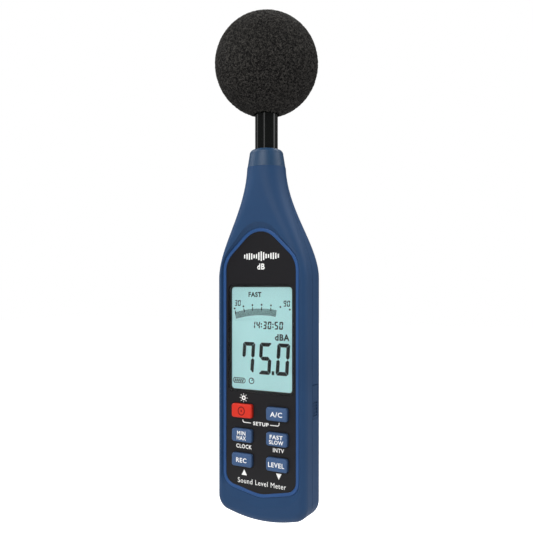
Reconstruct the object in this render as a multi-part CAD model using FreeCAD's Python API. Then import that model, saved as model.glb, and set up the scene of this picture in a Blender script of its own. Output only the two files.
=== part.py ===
import FreeCAD, Part
import math
import os

# Hand-held sound level meter with a foam windscreen on a half-inch microphone tube.
#
# Frame: +Z runs up the meter to the microphone, the keys and display face -Y, +X is to the
# right of the display. The origin is the mouth of the tripod socket in the flat back, so the
# back lies in the plane Y = 0 and everything else has a negative Y. Millimetres throughout.

Vector = FreeCAD.Vector
os.makedirs("parts", exist_ok=True)

# ---------------------------------------------------------------- driving dimensions
# case
body_width = 58.0             # across the straight sides
bottom_room = 18.1            # from the battery bay to the sharp tip of the V-shaped lower end
body_bottom_rise = 7.0        # how much higher the V is at the sides
shoulder_z = 57.0             # where the straight sides end and the shoulders begin
neck_top_z = 121.0            # upper end of the case halves
neck_room = 4.45              # from the tube to the outside of the round neck
shoulder_skew = 1.2           # above 1 keeps the neck slim for longer
wall = 2.0                    # case wall
front_edge_radius = 4.5
rear_edge_radius = 8.0
bottom_corner_radius = 9.0
bottom_tip_radius = 80.0
seam_behind_board = 0.2       # parting plane of the two case halves, from the board's back
seam_gap = 0.25               # shadow line between the halves

# microphone
tube_y = -16.0                # axis of the microphone tube
tube_radius = 6.6             # half-inch measuring microphone with its grid
tube_wall = 0.9
tube_length = 61.0
tube_engagement = 8.0         # how far the tube reaches down into the neck
capsule_length = 7.0
capsule_wall = 0.8
grid_length = 5.5
contact_stem_radius = 1.0
collar_height = 10.5
collar_wall = 3.2             # from the tube to the collar's top edge, before it is rounded
collar_edge_radius = 2.8
seal_radius = 0.5
seal_rise = 4.0               # O-ring above the end of the neck
nut_wall = 1.6                # hexagonal nut, at its corners
nut_height = 2.5
windscreen_radius = 30.0
windscreen_grip = 5.5         # microphone's tip above the centre of the foam ball

# front panel and its trim ring
side_border = 6.25            # case beside the panel
bottom_border = 18.0          # from the case's sharp tip up to the panel's
panel_bottom_rise = 4.9
arch_side_rise = 10.0         # from the shoulders to where the sides meet the arch's slopes
arch_peak_rise = 31.7         # from the shoulders to where the two slopes meet
panel_corner_radius = 6.5
panel_tip_radius = 20.0
panel_shoulder_radius = 14.0
panel_peak_radius = 13.1
panel_depth = 1.4             # panel face behind the front ridge
panel_thickness = 0.6
trim_width = 2.1
trim_proud = 0.4              # trim ring in front of the panel face
trim_seat = 1.2               # trim ring below the panel face
front_wall = 2.0              # case wall behind the panel
front_wall_rise = 9.3         # how far that thicker wall goes on above the arch's rounded peak
scoop_rise = 4.2              # depth of the sloping band round the trim, before it is cut off
scoop_side = 2.6              # its spread over that depth at the sides,
scoop_bottom = 18.0           # at the lower end
scoop_top = 8.5               # and at the peak
scoop_corner = 14.0           # added to its lower corners' radii over that depth

# display
display_width = 39.8          # lit area
display_height = 59.4
display_z = 22.3              # centre
display_corner_radius = 1.7
window_margin = 1.4           # clear window beyond the lit area, each side
window_sink = 0.1             # window face behind the panel face
window_thickness = 1.5
bezel_thickness = 0.6
glass_margin = 1.9            # liquid crystal glass beyond the lit area, each side
glass_corner_radius = 0.8
glass_thickness = 2.0
backlight_thickness = 2.0
backlight_inset = 1.0         # backlight inside the lit area, each side
connector_width = 1.8

# keys
key_column_x = 11.4
key_top_row_z = -19.6
key_row_pitch = 14.2
key_width = 13.5
key_height = 7.6
power_key_width = 13.6
power_key_height = 8.0
key_corner_radius = 1.5
key_edge_radius = 0.9
key_proud = 1.9               # key top in front of the panel face
key_gap = 0.3                 # all round, in the case and the panel
key_travel = 0.8
key_flange = 1.0              # thickness of the flange, and
key_flange_spread = 0.8       # its reach beyond the key, each side
mat_thickness = 0.85
mat_margin = 2.35             # mat beyond the keys, each side
dome_radius = 3.2
dome_wall = 0.8
dome_roof = 0.5
pill_radius = 1.8
pill_thickness = 0.35

# circuit board
board_thickness = 1.6
board_side_gap = 0.8          # from the board's edge to the case wall
board_ends = (1.5, 0.5)       # below the battery bay, and short of the shoulders
board_to_bay = 1.5            # room for parts between the board and the battery bay
chip_height = 1.2

# battery bay: four AAA cells side by side
cell_count = 4
cell_radius = 5.25
cell_length = 43.7            # without the button
cell_button = 0.8
cell_button_radius = 1.9
cell_gap = 0.4                # between neighbours
bay_top_z = -15.5
bay_side_gap = 0.4
bay_front_gap = 0.3
bay_wall = 1.0
spring_room = 4.7             # length of a battery spring under load
contact_seat = 0.9            # from the bay's ends to the face of the sheet contacts
cell_to_door = 0.1            # from the case wall's inner face to the cells
door_inset = 1.2              # door narrower than the bay, each side
door_step = 0.2               # door thinner than the case wall
door_overlap_bottom = 5.0     # door below the bay
door_overlap_top = 2.5        # door above the bay
door_gap = 0.25
hook_x = 16.5                 # middles of the two hooks on the door's lower edge
hook_half_width = 2.6
hook_thickness = 1.2
hook_reach = 1.35             # under the case wall, below the door
pad_half_width = 18.0
pad_z = (16.0, 32.0)          # above the bay's lower end

# fasteners and sockets
screw_radius = 1.45
screw_core_radius = 1.15
screw_length = 14.0
screw_head_radius = 2.6
screw_head_height = 1.8
screw_head_sink = 5.0         # head top below the back plane
boss_radius = 3.4             # rear pillars of the case screws
front_boss_radius = 2.8
upper_screw_inset = 10.0      # from the case's side
upper_screw_rise = 5.0        # above the shoulders
lower_screw_x = 8.0
lower_screw_rise = 8.9        # above the sharp tip
board_post_radius = 2.3
board_screw_inset = 1.8       # from the board's edge
board_screw_ends = (10.0, 16.5)
board_screw_head_radius = 1.9
board_screw_head_height = 1.0
board_screw_core_radius = 0.8
board_screw_length = 5.0
tripod_thread_radius = 2.55   # 1/4-20, bored to its minor diameter
tripod_insert_radius = 4.2
tripod_insert_length = 8.0
tripod_boss_wall = 2.2
usb_z = -9.0
usb_stand = 1.1               # from the board to the socket's shell
usb_height = 7.7
usb_depth = 3.9
usb_length = 9.0
usb_sheet = 0.35
usb_gap = 0.15                # round the shell, in the case
flap_gap = 0.15               # round the flap, and twice that above its turning end
flap_width = 6.8
flap_reach = (13.6, 5.6)      # below and above the middle of the data socket
flap_behind_seam = 0.3
flap_thickness = 1.1
output_jack_z = -4.0
output_jack_radius = 1.78     # 3.5 mm plug
dc_jack_z = 8.0
dc_jack_radius = 2.0
dc_pin_radius = 0.65
jack_length = 12.0
jack_half_height = 2.6
jack_half_width = 3.0
jack_stand = 0.2              # from the board to the sockets' bodies
trimmer_z = 20.0
trimmer_half_depth = 1.9
trimmer_half_height = 2.4
trimmer_width = 3.0
trimmer_rotor_radius = 1.1
label_z = 33.0
label_width = 34.0
label_height = 24.0

# clearances
seat_gap = 0.05               # between pieces that sit in one another
running_gap = 0.1             # between pieces that slide or turn in one another
tongue = 1.5                  # length of the rear case's locating lip
lip_thickness = 0.9
tongue_gap = 0.1
spigot_gap = 0.2              # collar's spigot in the neck, whose inside is a lofted skin
far = 200.0                   # reach of the tools that cut right through

# ---------------------------------------------------------------- derived places
# from the back forwards: door, cells, bay wall, board, display, window, panel, front ridge
half_width = body_width / 2
neck_radius = tube_radius + neck_room
collar_top_radius = tube_radius + collar_wall
door_thickness = wall - door_step
cell_y = -wall - cell_to_door - cell_radius
bay_front_y = cell_y - cell_radius - bay_front_gap
board_back_y = bay_front_y - bay_wall - board_to_bay
board_y = board_back_y - board_thickness
backlight_y = board_y - running_gap - backlight_thickness
glass_back_y = backlight_y - running_gap
glass_y = glass_back_y - glass_thickness
bezel_y = glass_y - running_gap - bezel_thickness
window_back_y = bezel_y - running_gap
window_y = window_back_y - window_thickness
panel_y = window_y - window_sink
front_y = panel_y - panel_depth
panel_back_y = panel_y + panel_thickness
wall_back_y = panel_back_y + front_wall
trim_y = panel_y - trim_proud
seam_y = board_back_y + seam_behind_board
usb_y = board_back_y + usb_stand + usb_depth / 2
flap_y = (seam_y + flap_behind_seam, seam_y + flap_behind_seam + flap_width)
jack_y = board_back_y + jack_stand + jack_half_height
trimmer_y = board_y - seat_gap - trimmer_half_depth

# from the lower end upwards
bay_length = cell_length + cell_button + spring_room + 2 * contact_seat
bay_bottom_z = bay_top_z - bay_length
body_bottom_z = bay_bottom_z - bottom_room
panel_bottom_z = body_bottom_z + bottom_border
board_bottom_z = bay_bottom_z - board_ends[0]
board_top_z = shoulder_z - board_ends[1]
door_z = (bay_bottom_z - door_overlap_bottom, bay_top_z + door_overlap_top)
flap_z = (usb_z - flap_reach[0], usb_z + flap_reach[1])
panel_side_top_z = shoulder_z + arch_side_rise
panel_peak_z = shoulder_z + arch_peak_rise
tube_bottom_z = neck_top_z - tube_engagement
tube_top_z = tube_bottom_z + tube_length
collar_top_z = neck_top_z + collar_height
seal_z = neck_top_z + seal_rise
capsule_z = tube_top_z
grid_z = capsule_z + capsule_length
microphone_tip_z = grid_z + grid_length
windscreen_z = microphone_tip_z - windscreen_grip

# from side to side
panel_half_width = half_width - side_border
arch_slope = math.atan2(panel_peak_z - panel_side_top_z, panel_half_width)
panel_top_z = panel_peak_z - panel_peak_radius * (1 / math.cos(arch_slope) - 1)
board_half_width = half_width - wall - board_side_gap
cell_pitch = 2 * cell_radius + cell_gap
bay_half_width = (cell_count - 1) / 2 * cell_pitch + cell_radius + bay_side_gap
door_half_width = bay_half_width - door_inset
case_screw_upper = (half_width - upper_screw_inset, shoulder_z + upper_screw_rise)
case_screw_lower = (lower_screw_x, body_bottom_z + lower_screw_rise)
board_screw_x = board_half_width - board_screw_inset
board_screw_lower = (board_screw_x, board_bottom_z + board_screw_ends[0])
board_screw_upper = (board_screw_x, board_top_z - board_screw_ends[1])


# ---------------------------------------------------------------- shape helpers
def box(x, y, z):
    """A block given by its (low, high) pairs."""
    size = [pair[1] - pair[0] for pair in (x, y, z)]
    return Part.makeBox(size[0], size[1], size[2], Vector(x[0], y[0], z[0]))


def rod(radius, start, end):
    """A cylinder from one point to another."""
    start, end = Vector(*start), Vector(*end)
    return Part.makeCylinder(radius, (end - start).Length, start, end - start)


def ring(outer, inner, start, end):
    return rod(outer, start, end).cut(rod(inner, start, end))


def upright_ring(outer, inner, low, high):
    """A ring round the microphone tube's axis."""
    return ring(outer, inner, (0, tube_y, low), (0, tube_y, high))


def join(shapes):
    joined = shapes[0]
    for shape in shapes[1:]:
        joined = joined.fuse(shape)
    return joined.removeSplitter()


def grow(points, distance):
    """A convex outline, given anticlockwise, moved outwards by a distance."""
    moved = []
    for index, point in enumerate(points):
        before = Vector(*points[index - 1], 0)
        here = Vector(*point, 0)
        after = Vector(*points[(index + 1) % len(points)], 0)
        first = (here - before).normalize()
        second = (after - here).normalize()
        first_out = Vector(first.y, -first.x, 0)
        second_out = Vector(second.y, -second.x, 0)
        step = (first_out + second_out) * (distance / (1 + first_out.dot(second_out)))
        moved.append((here.x + step.x, here.y + step.y))
    return moved


def rounded_wire(points, radii, place):
    """A closed wire of lines and corner arcs. place turns each (a, b) into a point in space."""
    stretches = []
    for index, point in enumerate(points):
        here = Vector(*point, 0)
        to_before = (Vector(*points[index - 1], 0) - here).normalize()
        to_after = (Vector(*points[(index + 1) % len(points)], 0) - here).normalize()
        radius = radii[index]
        if radius == 0:
            stretches.append([here])
            continue
        half_angle = to_before.getAngle(to_after) / 2
        reach = radius / math.tan(half_angle)
        bisector = (to_before + to_after).normalize()
        middle = here + bisector * (radius / math.sin(half_angle) - radius)
        stretches.append([here + to_before * reach, middle, here + to_after * reach])
    edges = []
    for index, stretch in enumerate(stretches):
        if len(stretch) == 3:
            edges.append(Part.Arc(*[place(p.x, p.y) for p in stretch]).toShape())
        start = stretch[-1]
        end = stretches[(index + 1) % len(stretches)][0]
        if (end - start).Length > 1e-6:
            edges.append(Part.LineSegment(place(start.x, start.y), place(end.x, end.y)).toShape())
    return Part.Wire(edges)


def front_wire(points, radii, y):
    """An outline in the plane of the panel."""
    return rounded_wire(points, radii, lambda a, b: Vector(a, y, b))


def front_prism(points, radii, y):
    """An outline in the plane of the panel, given depth from y[0] to y[1]."""
    face = Part.Face(front_wire(points, radii, y[0]))
    return face.extrude(Vector(0, y[1] - y[0], 0))


def plate(centre, width, height, radius, y):
    """A block with rounded corners, seen from the front, from y[0] to y[1]."""
    x, z = centre
    points = [(x - width / 2, z - height / 2), (x + width / 2, z - height / 2),
              (x + width / 2, z + height / 2), (x - width / 2, z + height / 2)]
    return front_prism(points, [radius] * 4, y)


def soften(solid, radius, wanted):
    """Rounds the edges that the test picks out."""
    return solid.makeFillet(radius, [edge for edge in solid.Edges if wanted(edge)])


def lies_in_y(edge, y):
    return all(abs(vertex.Y - y) < 1e-4 for vertex in edge.Vertexes)


def save(name, shape):
    shape.exportStep("parts/" + name + ".step")


# ---------------------------------------------------------------- outer form
def shoulder_blend(z):
    """0 at the round end of the neck, 1 at the straight sides, smooth at both."""
    share = (neck_top_z + 6 - z) / (neck_top_z + 6 - shoulder_z)
    share = max(0.0, min(1.0, share)) ** shoulder_skew
    return share * share * (3 - 2 * share)


def neck_section(z, inset):
    """The case's level section above the straight sides."""
    blend = shoulder_blend(z)
    half = neck_radius + (half_width - neck_radius) * blend
    front = tube_y - neck_radius + (front_y - tube_y + neck_radius) * blend
    back = tube_y + neck_radius + (-tube_y - neck_radius) * blend
    round_corner = neck_radius - 0.05
    front_corner = round_corner + (front_edge_radius - round_corner) * blend
    back_corner = round_corner + (rear_edge_radius - round_corner) * blend
    half, front, back = half - inset, front + inset, back - inset
    points = [(-half, front), (half, front), (half, back), (-half, back)]
    radii = [front_corner - inset] * 2 + [back_corner - inset] * 2
    return rounded_wire(points, radii, lambda a, b: Vector(a, b, z))


def case_form(inset):
    """The solid form of the whole case, made smaller all round by inset."""
    corner_z = body_bottom_z + body_bottom_rise
    outline = grow([(-half_width, corner_z), (0, body_bottom_z), (half_width, corner_z),
                    (half_width, shoulder_z + inset), (-half_width, shoulder_z + inset)], -inset)
    radii = [bottom_corner_radius - inset, bottom_tip_radius, bottom_corner_radius - inset, 0, 0]
    lower = front_prism(outline, radii, (front_y + inset, -inset))

    def at_shoulder(edge):
        return all(abs(vertex.Z - shoulder_z) < 1e-4 for vertex in edge.Vertexes)

    lower = soften(lower, front_edge_radius - inset,
                   lambda edge: lies_in_y(edge, front_y + inset) and not at_shoulder(edge))
    lower = soften(lower, rear_edge_radius - inset,
                   lambda edge: lies_in_y(edge, -inset) and not at_shoulder(edge))
    steps = 10
    heights = [shoulder_z + (neck_top_z - shoulder_z) * step / steps for step in range(steps + 1)]
    upper = Part.makeLoft([neck_section(z, inset) for z in heights], True, False)
    return lower.fuse(upper)


def panel_points(margin):
    corner_z = panel_bottom_z + panel_bottom_rise
    return grow([(-panel_half_width, corner_z), (0, panel_bottom_z), (panel_half_width, corner_z),
                 (panel_half_width, panel_side_top_z), (0, panel_peak_z),
                 (-panel_half_width, panel_side_top_z)], margin)


def panel_radii(margin):
    return [panel_corner_radius + margin, panel_tip_radius, panel_corner_radius + margin,
            panel_shoulder_radius + margin, panel_peak_radius + margin,
            panel_shoulder_radius + margin]


def panel_prism(margin, y):
    return front_prism(panel_points(margin), panel_radii(margin), y)


def scoop():
    """The sloping band that leads from the case's front ridge down to the trim ring."""
    margin = trim_width + 2 * seat_gap
    inner = panel_points(margin)
    shifts = [(-scoop_side, -scoop_bottom), (0, -scoop_bottom), (scoop_side, -scoop_bottom),
              (scoop_side, 0), (0, scoop_top), (-scoop_side, 0)]
    outer = [(point[0] + shift[0], point[1] + shift[1]) for point, shift in zip(inner, shifts)]
    radii = panel_radii(margin)
    floor_y = panel_y - trim_proud / 2
    outer_radii = [radii[0] + scoop_corner, radii[1], radii[2] + scoop_corner] + radii[3:]
    wires = [front_wire(inner, radii, floor_y),
             front_wire(outer, outer_radii, floor_y - scoop_rise)]
    return Part.makeLoft(wires, True, True)


# ---------------------------------------------------------------- places that repeat
def both_sides(place):
    return [(-place[0], place[1]), place]


case_screw_places = both_sides(case_screw_upper) + both_sides(case_screw_lower)
board_screw_places = both_sides(board_screw_upper) + both_sides(board_screw_lower)
cell_places = [(index - (cell_count - 1) / 2) * cell_pitch for index in range(cell_count)]
key_rows = [key_top_row_z - key_row_pitch * row for row in range(3)]
keys = {
    "key_power": ((-key_column_x, key_rows[0]), power_key_width, power_key_height),
    "key_weighting": ((key_column_x, key_rows[0]), key_width, key_height),
    "key_min_max": ((-key_column_x, key_rows[1]), key_width, key_height),
    "key_response": ((key_column_x, key_rows[1]), key_width, key_height),
    "key_record": ((-key_column_x, key_rows[2]), key_width, key_height),
    "key_level": ((key_column_x, key_rows[2]), key_width, key_height),
}


def key_holes(y):
    """Openings for the six keys, a gap wider than the keys all round."""
    gap = 2 * key_gap
    return join([plate(centre, width + gap, height + gap, key_corner_radius + key_gap, y)
                 for centre, width, height in keys.values()])


def window_opening(margin, y):
    """The opening for the display, margin wider than the clear window all round."""
    spread = 2 * (window_margin + margin)
    return plate((0, display_z), display_width + spread, display_height + spread,
                 display_corner_radius + window_margin + margin, y)


def display_sheet(margin, y):
    """A thin block the size of the lit area and a margin all round."""
    return plate((0, display_z), display_width + 2 * margin, display_height + 2 * margin,
                 glass_corner_radius, y)


def half_space(y):
    """Everything between two planes parallel to the panel."""
    return box((-far, far), y, (-far, far))


# ---------------------------------------------------------------- case halves
outer_form = case_form(0)
thick_front = box((-far, far), (-far, wall_back_y), (-far, panel_top_z + front_wall_rise))
cavity = case_form(wall).cut(thick_front)
shell = outer_form.cut(cavity)


def build_front_case():
    case = shell.common(half_space((-far, seam_y - seam_gap / 2)))
    case = case.cut(scoop())
    case = case.cut(panel_prism(seat_gap, (-far, panel_back_y)))
    trim_groove = panel_prism(trim_width + seat_gap, (-far, panel_y + trim_seat))
    case = case.cut(trim_groove.cut(panel_prism(-seat_gap, (-far, 0))))
    for place in case_screw_places:
        boss = rod(front_boss_radius, (place[0], wall_back_y - 0.5, place[1]),
                   (place[0], seam_y - seam_gap / 2, place[1]))
        case = case.fuse(boss.common(outer_form))
    for place in board_screw_places:
        post = rod(board_post_radius, (place[0], wall_back_y - 0.5, place[1]),
                   (place[0], board_y - seat_gap, place[1]))
        case = case.fuse(post.common(outer_form))
    rebate = case_form(wall - lip_thickness - tongue_gap).cut(case_form(wall))
    case = case.cut(rebate.common(half_space((seam_y - tongue - tongue_gap, 0))))
    for place in case_screw_places:
        case = case.cut(rod(screw_core_radius + seat_gap, (place[0], wall_back_y, place[1]),
                            (place[0], seam_y, place[1])))
    for place in board_screw_places:
        case = case.cut(rod(board_screw_core_radius + seat_gap,
                            (place[0], wall_back_y, place[1]), (place[0], seam_y, place[1])))
    case = case.cut(window_opening(seat_gap, (-far, bezel_y)))
    case = case.cut(display_sheet(glass_margin + running_gap,
                                  (bezel_y - seat_gap, glass_back_y + running_gap)))
    case = case.cut(key_holes((-far, wall_back_y + 0.01)))
    return case.cut(rod(trimmer_rotor_radius + 0.4, (-half_width - 1, trimmer_y, trimmer_z),
                        (-half_width + wall + 0.5, trimmer_y, trimmer_z)))


def bay_box(margin):
    """The battery bay, made bigger by margin on its front, top, bottom and sides."""
    return box((-bay_half_width - margin, bay_half_width + margin),
               (bay_front_y - margin, -wall / 2), (bay_bottom_z - margin, bay_top_z + margin))


def build_rear_case():
    case = shell.common(half_space((seam_y + seam_gap / 2, far)))
    lip = case_form(wall - lip_thickness).cut(case_form(wall))
    case = case.fuse(lip.common(half_space((seam_y - tongue, seam_y + seam_gap))))
    case = case.fuse(bay_box(bay_wall).common(outer_form))
    case = case.cut(bay_box(0).common(cavity))
    socket_boss = rod(tripod_insert_radius + tripod_boss_wall,
                      (0, -tripod_insert_length - tripod_boss_wall / 2, 0), (0, -wall / 2, 0))
    case = case.fuse(socket_boss)
    case = case.cut(rod(tripod_insert_radius + seat_gap, (0, -tripod_insert_length, 0), (0, 1, 0)))
    for place in case_screw_places:
        pillar = rod(boss_radius, (place[0], seam_y + seam_gap / 2, place[1]),
                     (place[0], 0, place[1]))
        case = case.fuse(pillar.common(case_form(wall / 2)))
    for place in case_screw_places:
        case = case.cut(rod(screw_head_radius + 0.2, (place[0], -screw_head_sink
                            - screw_head_height, place[1]), (place[0], 1, place[1])))
        case = case.cut(rod(screw_radius + 0.15, (place[0], -far, place[1]),
                            (place[0], 0, place[1])))
    case = case.cut(box((-door_half_width - door_gap, door_half_width + door_gap), (-wall, 1),
                        (door_z[0] - door_gap, door_z[1] + door_gap)))
    pocket_x = half_width - flap_thickness - running_gap
    case = case.cut(box((pocket_x, half_width + 1),
                        (flap_y[0] - flap_gap, flap_y[1] + flap_gap),
                        (flap_z[0] - flap_gap, flap_z[1] + 2 * flap_gap)))
    case = case.cut(box((half_width - wall - 1, half_width),
                        (usb_y - usb_depth / 2 - usb_gap, usb_y + usb_depth / 2 + usb_gap),
                        (usb_z - usb_height / 2 - usb_gap, usb_z + usb_height / 2 + usb_gap)))
    for z in (output_jack_z, dc_jack_z):
        case = case.cut(rod(jack_half_height + seat_gap, (-half_width - 1, jack_y, z),
                            (jack_body_x, jack_y, z)))
    return case


# ---------------------------------------------------------------- panel and display
def build_panel_trim():
    y = (trim_y, panel_y + trim_seat - seat_gap)
    trim = panel_prism(trim_width, y).cut(panel_prism(seat_gap, (-far, 0)))
    return soften(trim, trim_width * 0.28, lambda edge: lies_in_y(edge, trim_y))


def build_front_panel():
    panel = panel_prism(0, (panel_y, panel_back_y - seat_gap))
    return panel.cut(window_opening(seat_gap, (-far, 0))).cut(key_holes((-far, 0)))


def build_display_window():
    return window_opening(0, (window_y, window_back_y))


def build_display_bezel():
    opening = plate((0, display_z), display_width, display_height, display_corner_radius, (-far, 0))
    return display_sheet(glass_margin, (bezel_y, bezel_y + bezel_thickness)).cut(opening)


def build_display_glass():
    return display_sheet(glass_margin, (glass_y, glass_back_y))


def build_display_backlight():
    return display_sheet(-backlight_inset, (backlight_y, backlight_y + backlight_thickness))


def build_display_connectors():
    """Two elastomer strips that press the glass's contacts onto the board."""
    strips = []
    half = connector_width / 2
    reach = (display_height + connector_width) / 2 - backlight_inset / 2
    for z in (display_z - reach, display_z + reach):
        strips.append(box((-display_width / 2, display_width / 2),
                          (glass_back_y + seat_gap, board_y - seat_gap), (z - half, z + half)))
    return Part.makeCompound(strips)


# ---------------------------------------------------------------- keys
key_top_y = panel_y - key_proud
key_flange_y = wall_back_y + seat_gap
key_back_y = key_flange_y + key_flange
dome_top_y = key_back_y + key_travel + seat_gap
dome_inside_y = dome_top_y + dome_roof
mat_y = board_y - seat_gap - mat_thickness


def build_key(centre, width, height):
    cap = plate(centre, width, height, key_corner_radius, (key_top_y, key_flange_y))
    cap = soften(cap, key_edge_radius, lambda edge: lies_in_y(edge, key_top_y))
    spread = 2 * key_flange_spread
    flange = plate(centre, width + spread, height + spread, key_corner_radius,
                   (key_flange_y, key_back_y))
    return cap.fuse(flange).removeSplitter()


def build_keypad_mat():
    """Silicone sheet with one hollow dome under each key."""
    reach = key_height / 2 + mat_margin + 1.15
    low, high = key_rows[-1] - reach, key_rows[0] + reach
    mat = plate((0, (low + high) / 2), 2 * key_column_x + key_width + 2 * mat_margin,
                high - low, 2, (mat_y, mat_y + mat_thickness))
    for (x, z), width, height in keys.values():
        mat = mat.fuse(rod(dome_radius, (x, dome_top_y, z), (x, mat_y + mat_thickness / 2, z)))
    for (x, z), width, height in keys.values():
        mat = mat.cut(rod(dome_radius - dome_wall, (x, dome_inside_y, z), (x, board_y, z)))
    return mat


def build_contact_pills():
    low = dome_inside_y + seat_gap
    return Part.makeCompound([rod(pill_radius, (x, low, z), (x, low + pill_thickness, z))
                              for (x, z), width, height in keys.values()])


# ---------------------------------------------------------------- electronics
def build_main_board():
    middle = (board_bottom_z + board_top_z) / 2
    board = plate((0, middle), 2 * board_half_width, board_top_z - board_bottom_z, 2,
                  (board_y, board_back_y))
    for place in board_screw_places:
        board = board.cut(rod(board_screw_core_radius + 0.3, (place[0], -far, place[1]),
                              (place[0], 0, place[1])))
    return board


def build_board_components():
    """Processor, memory, analogue chips, crystal, capacitors and battery-lead connector."""
    on_board = board_back_y + seat_gap
    sizes = [((0, 22), 12, 12), ((-14, 30), 6, 8), ((13, 33), 5, 6), ((13, 22), 4, 5),
             ((0, 40), 8, 5), ((-8, 10), 3, 7), ((14, 11), 6, 4), ((0, 51), 7, 3)]
    parts = []
    for centre, width, height in sizes:
        parts.append(plate(centre, width, height, 0.3, (on_board, on_board + chip_height)))
    for x in (-20, -17, 18, 21):
        parts.append(rod(1.2, (x, on_board, 47), (x, on_board + chip_height, 47)))
    return Part.makeCompound(parts)


def build_board_screws():
    screws = []
    for x, z in board_screw_places:
        seat = board_back_y + seat_gap
        head = rod(board_screw_head_radius, (x, seat, z), (x, seat + board_screw_head_height, z))
        shank = rod(board_screw_core_radius, (x, seat - board_screw_length, z), (x, seat, z))
        slot = box((x - 1.2, x + 1.2), (seat + 0.5, seat + 3), (z - 0.25, z + 0.25))
        screws.append(head.fuse(shank).cut(slot))
    return Part.makeCompound(screws)


def build_usb_socket():
    mouth_x = half_width - flap_thickness - running_gap - seat_gap
    back_x = mouth_x - usb_length
    half_depth, half_height = usb_depth / 2, usb_height / 2
    shell_box = box((back_x, mouth_x), (usb_y - half_depth, usb_y + half_depth),
                    (usb_z - half_height, usb_z + half_height))
    hollow = box((back_x + 1, mouth_x + 1),
                 (usb_y - half_depth + usb_sheet, usb_y + half_depth - usb_sheet),
                 (usb_z - half_height + usb_sheet, usb_z + half_height - usb_sheet))
    contact_bar = box((back_x, mouth_x - 1.5), (usb_y - 0.5, usb_y + 0.5),
                      (usb_z - usb_height / 3, usb_z + usb_height / 3))
    legs = [box((back_x + 1, back_x + 2),
                (board_back_y + seat_gap, usb_y - half_depth + usb_sheet / 2),
                (leg_z - 0.4, leg_z + 0.4))
            for leg_z in (usb_z - half_height + 0.85, usb_z + half_height - 0.85)]
    return join([shell_box.cut(hollow), contact_bar] + legs)


jack_face_x = -half_width + 0.2
jack_body_x = -half_width + wall + 0.6


def jack(z, bore_radius):
    """A round socket that opens through the left side wall, bored to take its plug."""
    body = box((jack_body_x, jack_face_x + jack_length + 2),
               (jack_y - jack_half_height, jack_y + jack_half_height),
               (z - jack_half_width, z + jack_half_width))
    barrel = rod(jack_half_height, (jack_face_x, jack_y, z), (jack_body_x + 0.1, jack_y, z))
    bore = rod(bore_radius, (jack_face_x - 1, jack_y, z), (jack_face_x + jack_length, jack_y, z))
    return body.fuse(barrel).cut(bore)


def build_dc_jack():
    pin = rod(dc_pin_radius, (jack_face_x + 2, jack_y, dc_jack_z),
              (jack_face_x + jack_length + 0.5, jack_y, dc_jack_z))
    return jack(dc_jack_z, dc_jack_radius).fuse(pin)


trimmer_face_x = -half_width + wall + 1.4


def build_trimmer_body():
    body = box((trimmer_face_x, trimmer_face_x + trimmer_width),
               (trimmer_y - trimmer_half_depth, trimmer_y + trimmer_half_depth),
               (trimmer_z - trimmer_half_height, trimmer_z + trimmer_half_height))
    return body.cut(rod(trimmer_rotor_radius + running_gap / 2,
                        (trimmer_face_x - 1, trimmer_y, trimmer_z),
                        (trimmer_face_x + 1.5, trimmer_y, trimmer_z)))


def build_trimmer_rotor():
    rotor = rod(trimmer_rotor_radius, (trimmer_face_x - 0.8, trimmer_y, trimmer_z),
                (trimmer_face_x + 1.4, trimmer_y, trimmer_z))
    return rotor.cut(box((trimmer_face_x - 1, trimmer_face_x - 0.3),
                         (trimmer_y - 0.2, trimmer_y + 0.2), (trimmer_z - 2, trimmer_z + 2)))


# ---------------------------------------------------------------- microphone
def build_microphone_tube():
    return upright_ring(tube_radius, tube_radius - tube_wall, tube_bottom_z, tube_top_z)


capsule_bore = tube_radius - capsule_wall
shelf_z = capsule_z + 1.2
back_plate_z = grid_z - 1.3


def build_microphone_capsule():
    """The microphone's housing, with a threaded skirt that screws into the tube."""
    housing = upright_ring(tube_radius, capsule_bore, capsule_z + seat_gap, grid_z - 0.5)
    skirt_radius = tube_radius - tube_wall - seat_gap
    skirt = upright_ring(skirt_radius, skirt_radius - 0.65, capsule_z - 4, capsule_z + 1)
    shelf = upright_ring(tube_radius - 0.5, capsule_bore - 0.8, shelf_z - 0.7, shelf_z)
    return join([housing, skirt, shelf])


def build_microphone_insulator():
    return upright_ring(capsule_bore - seat_gap, contact_stem_radius + seat_gap,
                        shelf_z + running_gap, shelf_z + running_gap + 2)


def build_microphone_contact():
    """Back plate and its stem, which carries the signal to the preamplifier."""
    back_plate = rod(capsule_bore - 1.35, (0, tube_y, back_plate_z - 0.8),
                     (0, tube_y, back_plate_z))
    stem = rod(contact_stem_radius, (0, tube_y, capsule_z - 2), (0, tube_y, back_plate_z - 0.4))
    return back_plate.fuse(stem)


def build_microphone_diaphragm():
    return rod(capsule_bore - seat_gap, (0, tube_y, back_plate_z + 0.2),
               (0, tube_y, back_plate_z + 0.5))


def build_microphone_grid():
    """Protection cap with a ring of slots in its flat top."""
    cap = rod(tube_radius, (0, tube_y, grid_z - 0.45), (0, tube_y, microphone_tip_z))
    cap = soften(cap, 0.6, lambda edge: edge.Vertexes[0].Z > microphone_tip_z - 0.01
                 and len(edge.Vertexes) == 1)
    cap = cap.cut(rod(tube_radius - 0.7, (0, tube_y, grid_z - 1),
                      (0, tube_y, microphone_tip_z - 0.8)))
    slot_count = 12
    for index in range(slot_count):
        slot = box((1.6, tube_radius - 1.55), (-0.35, 0.35), (0, 3))
        slot.rotate(Vector(0, 0, 0), Vector(0, 0, 1), 360 / slot_count * index)
        slot.translate(Vector(0, tube_y, microphone_tip_z - 1.5))
        cap = cap.cut(slot)
    return cap


def build_preamp_board():
    half = tube_radius - tube_wall - 1.05
    return box((-half, half), (tube_y - 0.5, tube_y + 0.5), (tube_bottom_z + 4, capsule_z - 6))


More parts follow.
